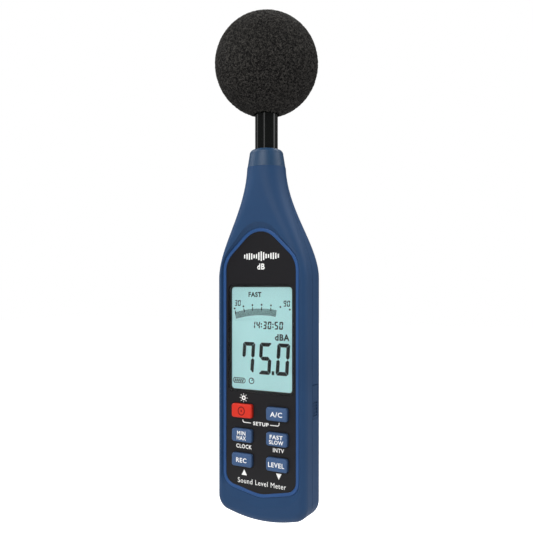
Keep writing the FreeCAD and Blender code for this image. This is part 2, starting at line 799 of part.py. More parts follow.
def build_neck_collar():
    """Nose piece that closes the neck and holds the tube, turned about the tube's axis."""
    top_edge = collar_top_radius - collar_edge_radius
    round_z = collar_top_z - collar_edge_radius
    slant = math.sqrt(0.5)
    hole = tube_radius + seat_gap
    spigot = neck_radius - wall - spigot_gap
    spigot_z = tube_bottom_z + 2
    low = neck_top_z + seat_gap

    def at(radius, z):
        return Vector(radius, 0, z)

    round_middle = at(top_edge + collar_edge_radius * slant, round_z + collar_edge_radius * slant)
    corners = [at(top_edge, collar_top_z), at(hole, collar_top_z), at(hole, spigot_z),
               at(spigot, spigot_z), at(spigot, low), at(neck_radius, low),
               at(collar_top_radius, round_z)]
    edges = [Part.LineSegment(a, b).toShape() for a, b in zip(corners, corners[1:])]
    edges.append(Part.Arc(corners[-1], round_middle, corners[0]).toShape())
    collar = Part.Face(Part.Wire(edges)).revolve(Vector(0, 0, 0), Vector(0, 0, 1), 360)
    collar.translate(Vector(0, tube_y, 0))
    groove_radius = tube_radius + 2 * (seal_radius + seat_gap)
    return collar.cut(upright_ring(groove_radius, tube_radius, seal_z - seal_radius - seat_gap,
                                   seal_z + seal_radius + seat_gap))


def build_tube_nut():
    """Hexagonal nut that clamps the tube from inside the neck."""
    across = tube_radius + nut_wall
    corners = [Vector(across * math.cos(math.radians(60 * index)),
                      across * math.sin(math.radians(60 * index)), 0) for index in range(7)]
    nut = Part.Face(Part.makePolygon(corners)).extrude(Vector(0, 0, nut_height))
    nut.translate(Vector(0, tube_y, tube_bottom_z - 0.6))
    return nut.cut(rod(tube_radius + seat_gap, (0, tube_y, tube_bottom_z - 2),
                       (0, tube_y, tube_bottom_z + 4)))


def build_tube_o_ring():
    return Part.makeTorus(tube_radius + seal_radius + seat_gap, seal_radius,
                          Vector(0, tube_y, seal_z), Vector(0, 0, 1))


def build_windscreen():
    """Foam ball with a blind hole for the microphone."""
    ball = Part.makeSphere(windscreen_radius, Vector(0, tube_y, windscreen_z))
    hole = rod(tube_radius + running_gap, (0, tube_y, windscreen_z - windscreen_radius - 1),
               (0, tube_y, microphone_tip_z + 0.3))
    return ball.cut(hole)


def build_microphone_lead():
    """Screened lead from the preamplifier down the neck to the main board, clipped flat."""
    top_z, bottom_z = tube_bottom_z - 1, board_top_z - 4
    low_y = board_back_y + 1.6
    bend = 12.0
    run = bend * math.tan(math.radians(20))
    corner = Vector(0, tube_y, top_z - 26)
    turn = math.atan2(low_y - tube_y, corner.z - bottom_z - 8)
    slope = Vector(0, math.sin(turn), -math.cos(turn))
    reach = bend * math.tan(turn / 2)
    first_end = corner + Vector(0, 0, reach)
    arc_end = corner + slope * reach
    centre = first_end + Vector(0, bend, 0)
    middle = centre + Vector(0, -bend * math.cos(turn / 2), -bend * math.sin(turn / 2))
    end = corner + slope * (corner.z - bottom_z - 8)
    path = Part.Wire([Part.LineSegment(Vector(0, tube_y, top_z), first_end).toShape(),
                      Part.Arc(first_end, middle, arc_end).toShape(),
                      Part.LineSegment(arc_end, end).toShape()])
    profile = Part.Wire(Part.makeCircle(1.2, Vector(0, tube_y, top_z), Vector(0, 0, -1)))
    return path.makePipeShell([profile], True, False)


# ---------------------------------------------------------------- batteries and door
cell_bottom_z = bay_bottom_z + contact_seat
cell_top_z = bay_top_z - contact_seat


def build_cell(index):
    """One AAA cell. Neighbours point opposite ways."""
    x = cell_places[index]
    button_up = index % 2 == 0
    low = cell_bottom_z + (spring_room if button_up else cell_button)
    can = rod(cell_radius, (x, cell_y, low), (x, cell_y, low + cell_length))
    can = soften(can, 0.5, lambda edge: len(edge.Vertexes) == 1)
    if button_up:
        button = rod(cell_button_radius, (x, cell_y, low + cell_length - 0.1),
                     (x, cell_y, low + cell_length + cell_button))
    else:
        button = rod(cell_button_radius, (x, cell_y, low - cell_button), (x, cell_y, low + 0.1))
    return can.fuse(button)


def build_battery_springs():
    """Conical springs, each drawn as the thin cone that its coils lie on."""
    springs = []
    length = spring_room - seat_gap
    wide, narrow = 0.76 * cell_radius, 0.495 * cell_radius
    sheet = 0.6
    for index, x in enumerate(cell_places):
        upward = index % 2 == 0
        start = Vector(x, cell_y, cell_bottom_z if upward else cell_top_z)
        direction = Vector(0, 0, 1 if upward else -1)
        outside = Part.makeCone(wide, narrow, length, start, direction)
        inside = Part.makeCone(wide - sheet, narrow - sheet, length, start, direction)
        springs.append(outside.cut(inside))
    return Part.makeCompound(springs)


def build_battery_plates():
    """Sheet contacts at both ends of the bay."""
    half = 0.8 * cell_radius
    sheet = 0.5
    plates = []
    for x in cell_places:
        for low in (cell_bottom_z - 0.1 - sheet, cell_top_z + 0.1):
            plates.append(box((x - half, x + half), (cell_y - half, cell_y + half),
                              (low, low + sheet)))
    return Part.makeCompound(plates)


def build_battery_door():
    """Flat cover with two hooks at its lower edge and a ribbed thumb recess at its upper edge."""
    door = box((-door_half_width, door_half_width), (-door_thickness, 0), door_z)
    door = soften(door, 0.3, lambda edge: lies_in_y(edge, 0))
    for side in (-1, 1):
        x = side * hook_x
        low_y = -wall - 0.2 - hook_thickness
        riser = box((x - hook_half_width, x + hook_half_width), (low_y, -door_thickness + 0.1),
                    (door_z[0] + 0.1, door_z[0] + 1.3))
        hook = box((x - hook_half_width, x + hook_half_width), (low_y, -wall - 0.2),
                   (door_z[0] - hook_reach, door_z[0] + 1.3))
        door = door.fuse(riser).fuse(hook)
    thumb_z = door_z[1] - 8
    door = door.cut(plate((0, thumb_z), 16, 8, 2, (-0.7, 1)))
    for index in range(5):
        z = thumb_z - 2.8 + 1.4 * index
        door = door.fuse(box((-6.5, 6.5), (-0.8, -0.15), (z - 0.25, z + 0.25)))
    return door


def build_door_pad():
    """Foam strip inside the door that presses on the cells. It clears them until it is squeezed."""
    return box((-pad_half_width, pad_half_width),
               (cell_y + cell_radius + seat_gap, -door_thickness - 0.02),
               (bay_bottom_z + pad_z[0], bay_bottom_z + pad_z[1]))


# ---------------------------------------------------------------- fasteners and small parts
def build_case_screws():
    screws = []
    for x, z in case_screw_places:
        seat = -screw_head_sink - screw_head_height + seat_gap
        head = rod(screw_head_radius, (x, seat, z), (x, seat + screw_head_height, z))
        head = soften(head, 0.7, lambda edge: len(edge.Vertexes) == 1
                      and edge.Vertexes[0].Y > seat + 1)
        shank_end = max(seat - screw_length, wall_back_y + 0.3)
        shank = rod(screw_core_radius, (x, shank_end, z), (x, seat, z))
        slots = [box((x - 1.5, x + 1.5), (seat + 0.8, seat + 4), (z - 0.3, z + 0.3)),
                 box((x - 0.3, x + 0.3), (seat + 0.8, seat + 4), (z - 1.5, z + 1.5))]
        screws.append(head.fuse(shank).cut(slots[0]).cut(slots[1]))
    return Part.makeCompound(screws)


def build_tripod_insert():
    """Brass insert, bored for the 1/4-20 thread, with a retaining groove round its middle."""
    insert = ring(tripod_insert_radius, tripod_thread_radius,
                  (0, -tripod_insert_length + seat_gap, 0), (0, 0, 0))
    middle = -tripod_insert_length / 2
    return insert.cut(ring(tripod_insert_radius + 1, tripod_insert_radius - 0.5,
                           (0, middle - 0.5, 0), (0, middle + 0.5, 0)))


def flap_axis():
    """Middle of the flap's round upper end, in X and Z."""
    return half_width - flap_thickness / 2 - seat_gap, flap_z[1] - flap_thickness / 2


def build_port_cover():
    """Rubber flap over the data socket. Its upper end is round and turns in the case's pocket."""
    x, z = flap_axis()
    half = flap_thickness / 2
    leaf = box((x - half, x + half), flap_y, (flap_z[0], z))
    leaf = leaf.fuse(rod(half, (x, flap_y[0], z), (x, flap_y[1], z)))
    middle = sum(flap_y) / 2
    grip = box((x + half - 0.5, x + half + 1), (middle - 2.6, middle + 2.6),
               (flap_z[0] + 1.5, flap_z[0] + 9.5))
    leaf = leaf.cut(grip)
    for index in range(4):
        rib_z = flap_z[0] + 2.6 + 1.9 * index
        leaf = leaf.fuse(box((x + half - 0.6, x + half - 0.1), (middle - 2.6, middle + 2.6),
                             (rib_z - 0.35, rib_z + 0.35)))
    return leaf


def build_rating_label():
    """Plain printed label on the back, in the space above the tripod socket."""
    return plate((0, label_z), label_width, label_height, 2, (0.02, 0.17))


# ---------------------------------------------------------------- write the nodes
save("front_case", build_front_case())
save("rear_case", build_rear_case())
save("panel_trim", build_panel_trim())
save("front_panel", build_front_panel())
save("display_window", build_display_window())
save("display_bezel", build_display_bezel())
save("display_glass", build_display_glass())
save("display_backlight", build_display_backlight())
save("display_connectors", build_display_connectors())
for key_name, (key_centre, cap_width, cap_height) in keys.items():
    save(key_name, build_key(key_centre, cap_width, cap_height))
save("keypad_mat", build_keypad_mat())
save("contact_pills", build_contact_pills())
save("main_board", build_main_board())
save("board_components", build_board_components())
save("board_screws", build_board_screws())
save("usb_socket", build_usb_socket())
save("output_jack", jack(output_jack_z, output_jack_radius))
save("dc_jack", build_dc_jack())
save("trimmer_body", build_trimmer_body())
save("trimmer_rotor", build_trimmer_rotor())
save("microphone_tube", build_microphone_tube())
save("microphone_capsule", build_microphone_capsule())
save("microphone_insulator", build_microphone_insulator())
save("microphone_contact", build_microphone_contact())
save("microphone_diaphragm", build_microphone_diaphragm())
save("microphone_grid", build_microphone_grid())
save("preamp_board", build_preamp_board())
save("neck_collar", build_neck_collar())
save("tube_nut", build_tube_nut())
save("tube_o_ring", build_tube_o_ring())
save("windscreen", build_windscreen())
save("microphone_lead", build_microphone_lead())
for cell_index in range(cell_count):
    save("battery_cell_" + str(cell_index + 1), build_cell(cell_index))
save("battery_springs", build_battery_springs())
save("battery_plates", build_battery_plates())
save("battery_door", build_battery_door())
save("door_pad", build_door_pad())
save("case_screws", build_case_screws())
save("tripod_insert", build_tripod_insert())
save("port_cover", build_port_cover())
save("rating_label", build_rating_label())
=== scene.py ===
# %% [markdown]
# # A hand-held sound level meter
# The meter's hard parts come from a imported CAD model, which is loaded first and never moved.
# This lesson adds what makes them look real: moulded plastic, printed film, a liquid crystal
# display, lettering, coil springs and an open-cell foam windscreen. Everything is in metres, in
# the same frame as the CAD model: +Z runs up the meter, the display faces -Y, and the origin is
# the mouth of the tripod socket in the flat back.

# %% Load the frame
import bpy
import bmesh
import math
from mathutils import Matrix, Vector


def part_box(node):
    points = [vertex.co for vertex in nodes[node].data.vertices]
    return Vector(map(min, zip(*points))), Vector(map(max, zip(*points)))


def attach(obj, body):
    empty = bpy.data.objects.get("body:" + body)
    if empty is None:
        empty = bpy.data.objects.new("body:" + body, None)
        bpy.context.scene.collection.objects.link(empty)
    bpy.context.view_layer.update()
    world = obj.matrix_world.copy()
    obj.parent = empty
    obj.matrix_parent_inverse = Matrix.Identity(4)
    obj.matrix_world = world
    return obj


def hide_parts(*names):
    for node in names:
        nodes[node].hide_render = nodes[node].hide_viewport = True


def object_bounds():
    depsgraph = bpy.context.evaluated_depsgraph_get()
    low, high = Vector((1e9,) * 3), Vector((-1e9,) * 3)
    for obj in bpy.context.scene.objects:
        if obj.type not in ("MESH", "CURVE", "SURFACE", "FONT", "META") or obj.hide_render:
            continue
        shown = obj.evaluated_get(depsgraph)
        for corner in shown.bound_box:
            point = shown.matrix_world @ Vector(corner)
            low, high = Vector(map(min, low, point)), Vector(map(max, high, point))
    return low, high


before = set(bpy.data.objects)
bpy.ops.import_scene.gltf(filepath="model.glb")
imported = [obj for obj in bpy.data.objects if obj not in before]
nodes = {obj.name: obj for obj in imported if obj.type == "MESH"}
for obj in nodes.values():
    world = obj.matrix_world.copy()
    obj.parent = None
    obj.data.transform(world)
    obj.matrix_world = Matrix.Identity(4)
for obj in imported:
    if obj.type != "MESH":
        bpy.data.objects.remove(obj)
cad_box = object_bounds()
mm = 0.001

# %% [markdown]
# ## The camera
# A long lens from a level viewpoint keeps the meter's edges upright. The camera stands to the
# right of the display, and a small upward shift frames the tall object without tilting it.

# %% Camera
view_azimuth = math.radians(29)
view_distance = 378 * mm
eye_height = 52 * mm
tube_low, tube_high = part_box("microphone_tube")
tube_axis = (tube_low + tube_high) / 2

camera_data = bpy.data.cameras.new("product_camera")
camera_data.sensor_width = 36
camera_data.lens = 43.9
camera_data.shift_y = 0.0385
camera_data.clip_start = 0.01
camera = bpy.data.objects.new("product_camera", camera_data)
camera.location = (view_distance * math.sin(view_azimuth),
                   tube_axis.y - view_distance * math.cos(view_azimuth), eye_height)
camera.rotation_euler = (math.pi / 2, 0, view_azimuth)
scene = bpy.context.scene
scene.collection.objects.link(camera)
scene.camera = camera
scene.view_settings.view_transform = "Standard"
print("camera at", [round(value, 3) for value in camera.location])

# %% [markdown]
# ## Helpers for node trees
# One function adds any node, in a material or in Geometry Nodes. It sets the node's own settings,
# fills its input sockets, and links a socket when it is given another node's output. Colours are
# written as the hex codes that designers use, and one function turns them to linear light. Two
# more serve nearly every finish: a slow unevenness of tone, and a fine relief that breaks up the
# highlights. Both have a real size and read Object coordinates, so they stay fixed to the piece.

# %% Node and colour helpers
def add(tree, kind, values=None, **settings):
    """Adds a node, applies its settings, and fills or links its inputs."""
    node = tree.nodes.new(kind)
    for name, value in settings.items():
        setattr(node, name, value)
    for key, value in (values or {}).items():
        if isinstance(value, bpy.types.NodeSocket):
            tree.links.new(value, node.inputs[key])
        else:
            node.inputs[key].default_value = value
    return node


def linear(code):
    """A hex colour as linear red, green and blue, with full opacity."""
    channels = [int(code[start:start + 2], 16) / 255 for start in (1, 3, 5)]
    return tuple(c / 12.92 if c <= 0.04045 else ((c + 0.055) / 1.055) ** 2.4
                 for c in channels) + (1.0,)


def new_material(name, **surface):
    """A Principled material. Surface names are its sockets, with _ for each space."""
    material = bpy.data.materials.new(name)
    material.use_nodes = True
    shader = material.node_tree.nodes["Principled BSDF"]
    for socket, value in surface.items():
        shader.inputs[socket.replace("_", " ")].default_value = value
    return material, material.node_tree, shader


def unevenness(tree, size, detail=2.0):
    """A value that wanders between 0 and 1 over a real distance on the piece."""
    place = add(tree, "ShaderNodeTexCoord")
    noise = add(tree, "ShaderNodeTexNoise", {"Vector": place.outputs["Object"],
                                             "Scale": 1 / size, "Detail": detail})
    return noise.outputs["Fac"]


def roughen(tree, shader, size, depth, detail=2.0):
    """A fine relief of a real size and depth over the whole surface."""
    relief = add(tree, "ShaderNodeBump", {"Height": unevenness(tree, size, detail),
                                          "Distance": depth})
    tree.links.new(relief.outputs["Normal"], shader.inputs["Normal"])


# A Mix node has sockets for each kind of data. These are its factor, its two colours and its
# mixed colour.
mix_factor, mix_first, mix_second, mix_result = 0, 6, 7, 2
print("pure white is", linear("#ffffff"))

# %% [markdown]
# ## Moulded plastic and rubber
# The case is ABS from a spark-eroded mould, which leaves a fine even texture that softens every
# highlight. The real grain is about 0.1 mm, too fine to show from here, so it is drawn at half a
# millimetre. A picture of the texture could be wrapped round each piece, but noise in three
# dimensions has no seams and no stretching, so it was chosen. A slow change of tone over a few
# centimetres stands for the mould's flow and for handling. Satin plastic as dark as this looks
# milky when it mirrors a pale studio, so its specular level is kept low. The same recipe serves
# every moulded piece, with its own colours and roughness.

# %% Moulded plastic
satin_specular = 0.25


def moulded(name, colour, shade, roughness, grain=0.5 * mm, depth=0.012 * mm,
            flow_size=22 * mm):
    """Plastic or rubber between two close colours, with a grain this wide and this deep."""
    material, tree, shader = new_material(name, IOR=1.53, Roughness=roughness,
                                          Specular_IOR_Level=satin_specular)
    tone = add(tree, "ShaderNodeMix", {
        mix_factor: unevenness(tree, flow_size), mix_first: linear(colour),
        mix_second: linear(shade)}, data_type="RGBA")
    tree.links.new(tone.outputs[mix_result], shader.inputs["Base Color"])
    roughen(tree, shader, grain, depth, 1.0)
    return material


case_abs = moulded("textured_abs_dark_blue", "#1d3f65", "#18375a", 0.6)
trim_abs = moulded("smooth_abs_bright_blue", "#284f84", "#244778", 0.45, depth=0.004 * mm)
collar_abs = moulded("smooth_abs_slate_blue", "#203f5e", "#1c3854", 0.45, depth=0.004 * mm)
key_silicone = moulded("hard_silicone_slate_blue", "#46628a", "#2b4468", 0.6, grain=0.4 * mm,
                       depth=0.03 * mm, flow_size=0.8 * mm)
power_silicone = moulded("hard_silicone_red", "#d4301f", "#c42818", 0.5)
flap_rubber = moulded("soft_rubber_dark_blue", "#1a3b60", "#173556", 0.65)
pad_foam = moulded("closed_cell_foam_grey", "#4a4b4d", "#3c3d3f", 0.9, grain=0.8 * mm,
                   depth=0.15 * mm, flow_size=1.2 * mm)
socket_plastic = moulded("glass_filled_nylon_black", "#17181a", "#111214", 0.5)
chip_epoxy = moulded("chip_epoxy_black", "#1b1c1e", "#141517", 0.6, grain=0.3 * mm)
seal_rubber = moulded("nitrile_rubber_black", "#121212", "#0d0d0d", 0.55)
mat_silicone = moulded("silicone_grey", "#75777a", "#6a6c70", 0.55)
diffuser = moulded("white_polycarbonate", "#e9ebe6", "#e1e3dd", 0.4)
insulator_plastic = moulded("insulator_cream", "#d8cfb6", "#cdc3a8", 0.35)
trimmer_plastic = moulded("trimmer_case_blue", "#1c4fa8", "#18459a", 0.4)
print("moulded materials:", len(bpy.data.materials))

# %% [markdown]
# ## Metals
# The springs, screws, threads and sockets are plated steel, stainless steel and brass. Metals keep
# the default index of refraction. Turned and drawn parts have lines left by the tool. They could
# be rings of their own in the mesh, but they are far too fine for that, so noise that is squeezed
# along one axis draws them as relief. Plating and oxide change only the colour and the gloss.

# %% Metals
tool_line = 0.15 * mm
tool_line_depth = 0.006 * mm
line_squeeze = 20


def metal(name, colour, roughness):
    """Machined metal, with the tool's fine rings round an upright axis."""
    material, tree, shader = new_material(name, Metallic=1.0, Roughness=roughness,
                                          Base_Color=linear(colour))
    place = add(tree, "ShaderNodeTexCoord")
    squeezed = add(tree, "ShaderNodeMapping", {"Vector": place.outputs["Object"],
                                               "Scale": (1, 1, line_squeeze)})
    lines = add(tree, "ShaderNodeTexNoise", {
        "Vector": squeezed.outputs["Vector"], "Scale": 1 / (tool_line * line_squeeze),
        "Detail": 1.0})
    relief = add(tree, "ShaderNodeBump", {"Height": lines.outputs["Fac"],
                                          "Distance": tool_line_depth})
    tree.links.new(relief.outputs["Normal"], shader.inputs["Normal"])
    return material


nickel = metal("nickel_plate", "#c9c7c1", 0.25)
steel = metal("turned_stainless_steel", "#b4b3b0", 0.3)
brass = metal("turned_brass", "#c79a4e", 0.3)
black_oxide = metal("black_oxide_steel", "#2a2a2c", 0.38)
grid_metal = metal("satin_nickel_grid", "#9b9b9b", 0.35)
print("metals:", [finish.name for finish in (nickel, steel, brass, black_oxide, grid_metal)])

# %% [markdown]
# ## The microphone tube
# The tube is brass or steel under a gloss black lacquer. It could be a dark metal with a clear
# coat, but lacquer hides the metal and is a dielectric, so it isn't metallic: it is nearly black,
# and almost all that the eye sees is the clear stripes that it reflects from the lights beside
# it. A long, shallow wave keeps the stripes from looking ruled.

# %% Gloss lacquer
tube_lacquer, tree, shader = new_material("gloss_black_lacquer", IOR=1.5, Roughness=0.1,
                                          Base_Color=linear("#0a0c0b"))
roughen(tree, shader, 3 * mm, 0.004 * mm)
print(tube_lacquer.name)

# %% [markdown]
# ## Film, window and display
# The front panel is polyester film, printed black on its back, with a velvet finish on its face.
# The window is clear acrylic with the same ink behind its border. The border could be a piece of
# its own, but ink has no thickness to speak of, so the material works it out from how far a point
# lies beyond a rectangle with round corners. The display is a reflective liquid crystal: what
# looks like its face is a mint-grey polariser a little way down in the glass. It gets some
# emission of its own colour, a painted glow that keeps it as bright as a lit face behind the
# window.

# %% Film and window
panel_film = moulded("velvet_polyester_black", "#141317", "#121114", 0.45, grain=0.6 * mm,
                     depth=0.006 * mm)
bezel_ink = moulded("bezel_ink_black", "#101012", "#0c0c0e", 0.5)


glass_low, glass_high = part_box("display_glass")
window_front_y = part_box("display_window")[0].y
clear_half_width, clear_half_height = 19.9 * mm, 29.7 * mm
clear_corner = 1.7 * mm
ink_starts = 0.05 * mm


def window_material():
    """Clear acrylic with black ink on the back of its border and on its edges."""
    material, tree, shader = new_material("clear_acrylic_printed_border", IOR=1.49)
    place = add(tree, "ShaderNodeTexCoord")
    centred = add(tree, "ShaderNodeVectorMath", {
        0: place.outputs["Object"], 1: (glass_low + glass_high) / 2}, operation="SUBTRACT")
    mirrored = add(tree, "ShaderNodeVectorMath", {0: centred.outputs[0]}, operation="ABSOLUTE")
    beyond = add(tree, "ShaderNodeVectorMath", {
        0: mirrored.outputs[0],
        1: (clear_half_width - clear_corner, 1.0, clear_half_height - clear_corner)},
        operation="SUBTRACT")
    outside = add(tree, "ShaderNodeVectorMath", {0: beyond.outputs[0], 1: (0, 0, 0)},
                  operation="MAXIMUM")
    reach = add(tree, "ShaderNodeVectorMath", {0: outside.outputs[0]}, operation="LENGTH")
    border = add(tree, "ShaderNodeMath", {0: reach.outputs["Value"], 1: clear_corner},
                 operation="GREATER_THAN")
    depth = add(tree, "ShaderNodeSeparateXYZ", {"Vector": place.outputs["Object"]})
    behind = add(tree, "ShaderNodeMath", {0: depth.outputs["Y"],
                                          1: window_front_y + ink_starts},
                 operation="GREATER_THAN")
    inked = add(tree, "ShaderNodeMath", {0: border.outputs[0], 1: behind.outputs[0]},
                operation="MULTIPLY")
    clear = add(tree, "ShaderNodeMath", {0: 1.0, 1: inked.outputs[0]}, operation="SUBTRACT")
    tree.links.new(clear.outputs[0], shader.inputs["Transmission Weight"])
    paint = add(tree, "ShaderNodeMix", {
        mix_factor: inked.outputs[0], mix_first: linear("#fbfdfd"),
        mix_second: linear("#08080a")}, data_type="RGBA")
    tree.links.new(paint.outputs[mix_result], shader.inputs["Base Color"])
    haze = add(tree, "ShaderNodeMapRange", {"Value": inked.outputs[0], "To Min": 0.02,
                                            "To Max": 0.5})
    tree.links.new(haze.outputs["Result"], shader.inputs["Roughness"])
    roughen(tree, shader, 30 * mm, 0.002 * mm)
    return material


acrylic = window_material()
print("clear window:", 2 * clear_half_width / mm, "by", 2 * clear_half_height / mm, "mm")

# %% Display polariser
# The emission is a painted glow in the polariser's own colour, which keeps the display bright
# behind the window.
display_face, tree, shader = new_material("display_polariser_mint", IOR=1.5, Roughness=0.3,
                                          Emission_Strength=0.42)
mint = add(tree, "ShaderNodeMix", {
    mix_factor: unevenness(tree, 25 * mm), mix_first: linear("#b4dcdc"),
    mix_second: linear("#a6d0d0")}, data_type="RGBA")
tree.links.new(mint.outputs[mix_result], shader.inputs["Base Color"])
tree.links.new(mint.outputs[mix_result], shader.inputs["Emission Color"])
print(panel_film.name, acrylic.name, display_face.name)

# %% [markdown]
# ## Inks
# Panel legends are screen-printed: matt, opaque and slightly uneven. The display's dark segments
# are liquid crystal seen against the polariser, a little green in the black. Ink is a thin film
# of plastic, so the moulded recipe serves here too, with a finer grain and less depth.

# %% Inks
white_ink = moulded("screen_ink_white", "#f4f4f2", "#eeeeec", 0.6, grain=0.2 * mm)
icon_ink = moulded("screen_ink_dark_red", "#6e0e0c", "#620c0a", 0.6, grain=0.2 * mm)
crystal_ink = moulded("liquid_crystal_dark", "#070b0a", "#050808", 0.5, depth=0.001 * mm)
faint_ink = moulded("liquid_crystal_half_tone", "#1c2625", "#161f1e", 0.5, depth=0.001 * mm)
label_film = moulded("label_film_silver", "#b9bcc0", "#b2b5b9", 0.35)
print("inks ready")

# %% [markdown]
# ## Circuit board and cells
# The board is green solder mask over copper. Real traces would take a drawing of their own for
# something that is hardly ever seen, so a brick pattern with 4 mm bricks stands for them. An AAA
# cell wears a printed sleeve with a band of a second colour at one end, placed by the height
# along the sleeve.

# %% Board
solder_mask, tree, shader = new_material("solder_mask_green", IOR=1.5, Roughness=0.3)
place = add(tree, "ShaderNodeTexCoord")
turned = add(tree, "ShaderNodeMapping", {"Vector": place.outputs["Object"],
                                         "Rotation": (math.pi / 2, 0, 0)})
traces = add(tree, "ShaderNodeTexBrick", {
    "Vector": turned.outputs["Vector"], "Color1": linear("#0c4a26"), "Color2": linear("#0b4222"),
    "Mortar": linear("#1d6b3b"), "Scale": 1 / (4 * mm), "Mortar Size": 0.05})
tree.links.new(traces.outputs["Color"], shader.inputs["Base Color"])
mask_thickness = 0.03 * mm
relief = add(tree, "ShaderNodeBump", {"Height": traces.outputs["Fac"],
                                      "Distance": mask_thickness})
tree.links.new(relief.outputs["Normal"], shader.inputs["Normal"])
print(solder_mask.name)

# %% Cell sleeve
def cell_sleeve(name, band_low, band_high):
    """A cell's printed sleeve, with a copper band between two heights."""
    material, tree, shader = new_material(name, IOR=1.5, Roughness=0.25, Metallic=0.6)
    place = add(tree, "ShaderNodeTexCoord")
    height = add(tree, "ShaderNodeSeparateXYZ", {"Vector": place.outputs["Object"]})
    above = add(tree, "ShaderNodeMath", {0: height.outputs["Z"], 1: band_low},
                operation="GREATER_THAN")
    below = add(tree, "ShaderNodeMath", {0: height.outputs["Z"], 1: band_high},
                operation="LESS_THAN")
    inside = add(tree, "ShaderNodeMath", {0: above.outputs[0], 1: below.outputs[0]},
                 operation="MULTIPLY")
    colours = add(tree, "ShaderNodeMix", {
        mix_factor: inside.outputs[0], mix_first: linear("#23272d"),
        mix_second: linear("#b5783c")}, data_type="RGBA")
    tree.links.new(colours.outputs[mix_result], shader.inputs["Base Color"])
    roughen(tree, shader, 6 * mm, 0.02 * mm)
    return material


print("sleeves are made when the cells are dressed")

# %% [markdown]
# ## Dressing the CAD pieces
# A CAD piece keeps its mesh and gets a better material in its slot. Its curved faces are split
# into small flat facets.

# %% Give the CAD pieces their materials
finishes = {
    case_abs: ["front_case", "rear_case", "battery_door"],
    trim_abs: ["panel_trim"],
    collar_abs: ["neck_collar"],
    panel_film: ["front_panel"],
    acrylic: ["display_window"],
    bezel_ink: ["display_bezel"],
    display_face: ["display_glass"],
    diffuser: ["display_backlight"],
    mat_silicone: ["display_connectors", "keypad_mat"],
    key_silicone: ["key_weighting", "key_min_max", "key_response", "key_record", "key_level"],
    power_silicone: ["key_power"],
    seal_rubber: ["contact_pills", "tube_o_ring", "microphone_lead"],
    solder_mask: ["main_board", "preamp_board"],
    chip_epoxy: ["board_components"],
    steel: ["board_screws", "microphone_capsule", "microphone_diaphragm"],
    nickel: ["usb_socket", "battery_plates"],
    socket_plastic: ["output_jack", "dc_jack"],
    trimmer_plastic: ["trimmer_body"],
    brass: ["trimmer_rotor", "tube_nut", "microphone_contact", "tripod_insert"],
    tube_lacquer: ["microphone_tube"],
    insulator_plastic: ["microphone_insulator"],
    grid_metal: ["microphone_grid"],
    black_oxide: ["case_screws"],
    flap_rubber: ["port_cover"],
    label_film: ["rating_label"],
}


def dress(name, material):
    slots = nodes[name].data.materials
    slots.clear()
    slots.append(material)


for material, names in finishes.items():
    for name in names:
        dress(name, material)

print("dressed:", sum(len(names) for names in finishes.values()))

# %% Dress the cells
cell_numbers = range(1, 5)
band_start, band_end = 1 * mm, 9 * mm


def button_up(number):
    """The cells lie head to tail, and the odd ones have their button upwards."""
    return number % 2 == 1


for number in cell_numbers:
    name = "battery_cell_" + str(number)
    low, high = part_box(name)
    band = ((high.z - band_end, high.z - band_start) if button_up(number)
            else (low.z + band_start, low.z + band_end))
    dress(name, cell_sleeve("cell_sleeve_" + str(number), *band))
print("cells dressed:", len(cell_numbers))

# %% [markdown]
# ## From shapes to pieces
# Everything added here is drawn flat in millimetres and then laid on a face of the meter. A face
# is an origin and two directions, right and up, and what is drawn stands off it by its own
# thickness. Print could be an image on the panel, but an image blurs when the camera comes close,
# so each flat shape becomes a thin slab of ink, closed all round so that no edge is left open.

# %% Faces and flat shapes
class Face:
    """A flat face to draw on: where its zero is, which way is right, and which way is up."""

    def __init__(self, origin, right, up):
        self.turn = Matrix([right, up, Vector(right).cross(Vector(up))]).transposed().to_4x4()
        self.turn.translation = Vector(origin)


def front_face(y):
    """A face that looks at the camera's side, this far along Y."""
    return Face((0, y, 0), (1, 0, 0), (0, 0, 1))


def new_piece(name, mesh, material, body):
    """Puts a mesh in the scene as a piece that moves with a body."""
    mesh.materials.clear()
    mesh.materials.append(material)
    piece = bpy.data.objects.new(name, mesh)
    scene.collection.objects.link(piece)
    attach(piece, body)
    return piece


def slabs(outlines, thickness):
    """A mesh of thin closed slabs, one for each outline, in millimetres."""
    shape = bmesh.new()
    for outline in outlines:
        area = sum(a[0] * b[1] - b[0] * a[1] for a, b in zip(outline, outline[1:] + outline[:1]))
        ordered = outline if area > 0 else outline[::-1]
        low = [shape.verts.new((x, y, 0)) for x, y in ordered]
        high = [shape.verts.new((x, y, thickness)) for x, y in ordered]
        shape.faces.new(high)
        shape.faces.new(low[::-1])
        for index in range(len(ordered)):
            after = (index + 1) % len(ordered)
            shape.faces.new([low[index], low[after], high[after], high[index]])
    mesh = bpy.data.meshes.new("slabs")
    shape.to_mesh(mesh)
    shape.free()
    return mesh


def lay(mesh, face):
    """Moves a mesh drawn in millimetres to its face on the meter."""
    mesh.transform(face.turn @ Matrix.Scale(mm, 4))
    return mesh


def join_meshes(meshes):
    """One mesh of many, which needs its material given again."""
    shape = bmesh.new()
    for mesh in meshes:
        shape.from_mesh(mesh)
    joined = bpy.data.meshes.new("joined")
    shape.to_mesh(joined)
    shape.free()
    return joined


ink_thickness = 0.03
print("flat shapes stand", ink_thickness, "mm proud")

# %% [markdown]
# ## Lettering
# The words are screen-printed in a plain bold face. They could be drawn letter by letter, but a
# text object already has every letter. It is made a mesh, then scaled to the width and height
# that the word should have on the meter, because a font's own size says little about how tall its
# capitals are. A small offset gives the bold weight of a silk screen.

# %% Lettering
bold = 0.022
letter_spacing = 1.12


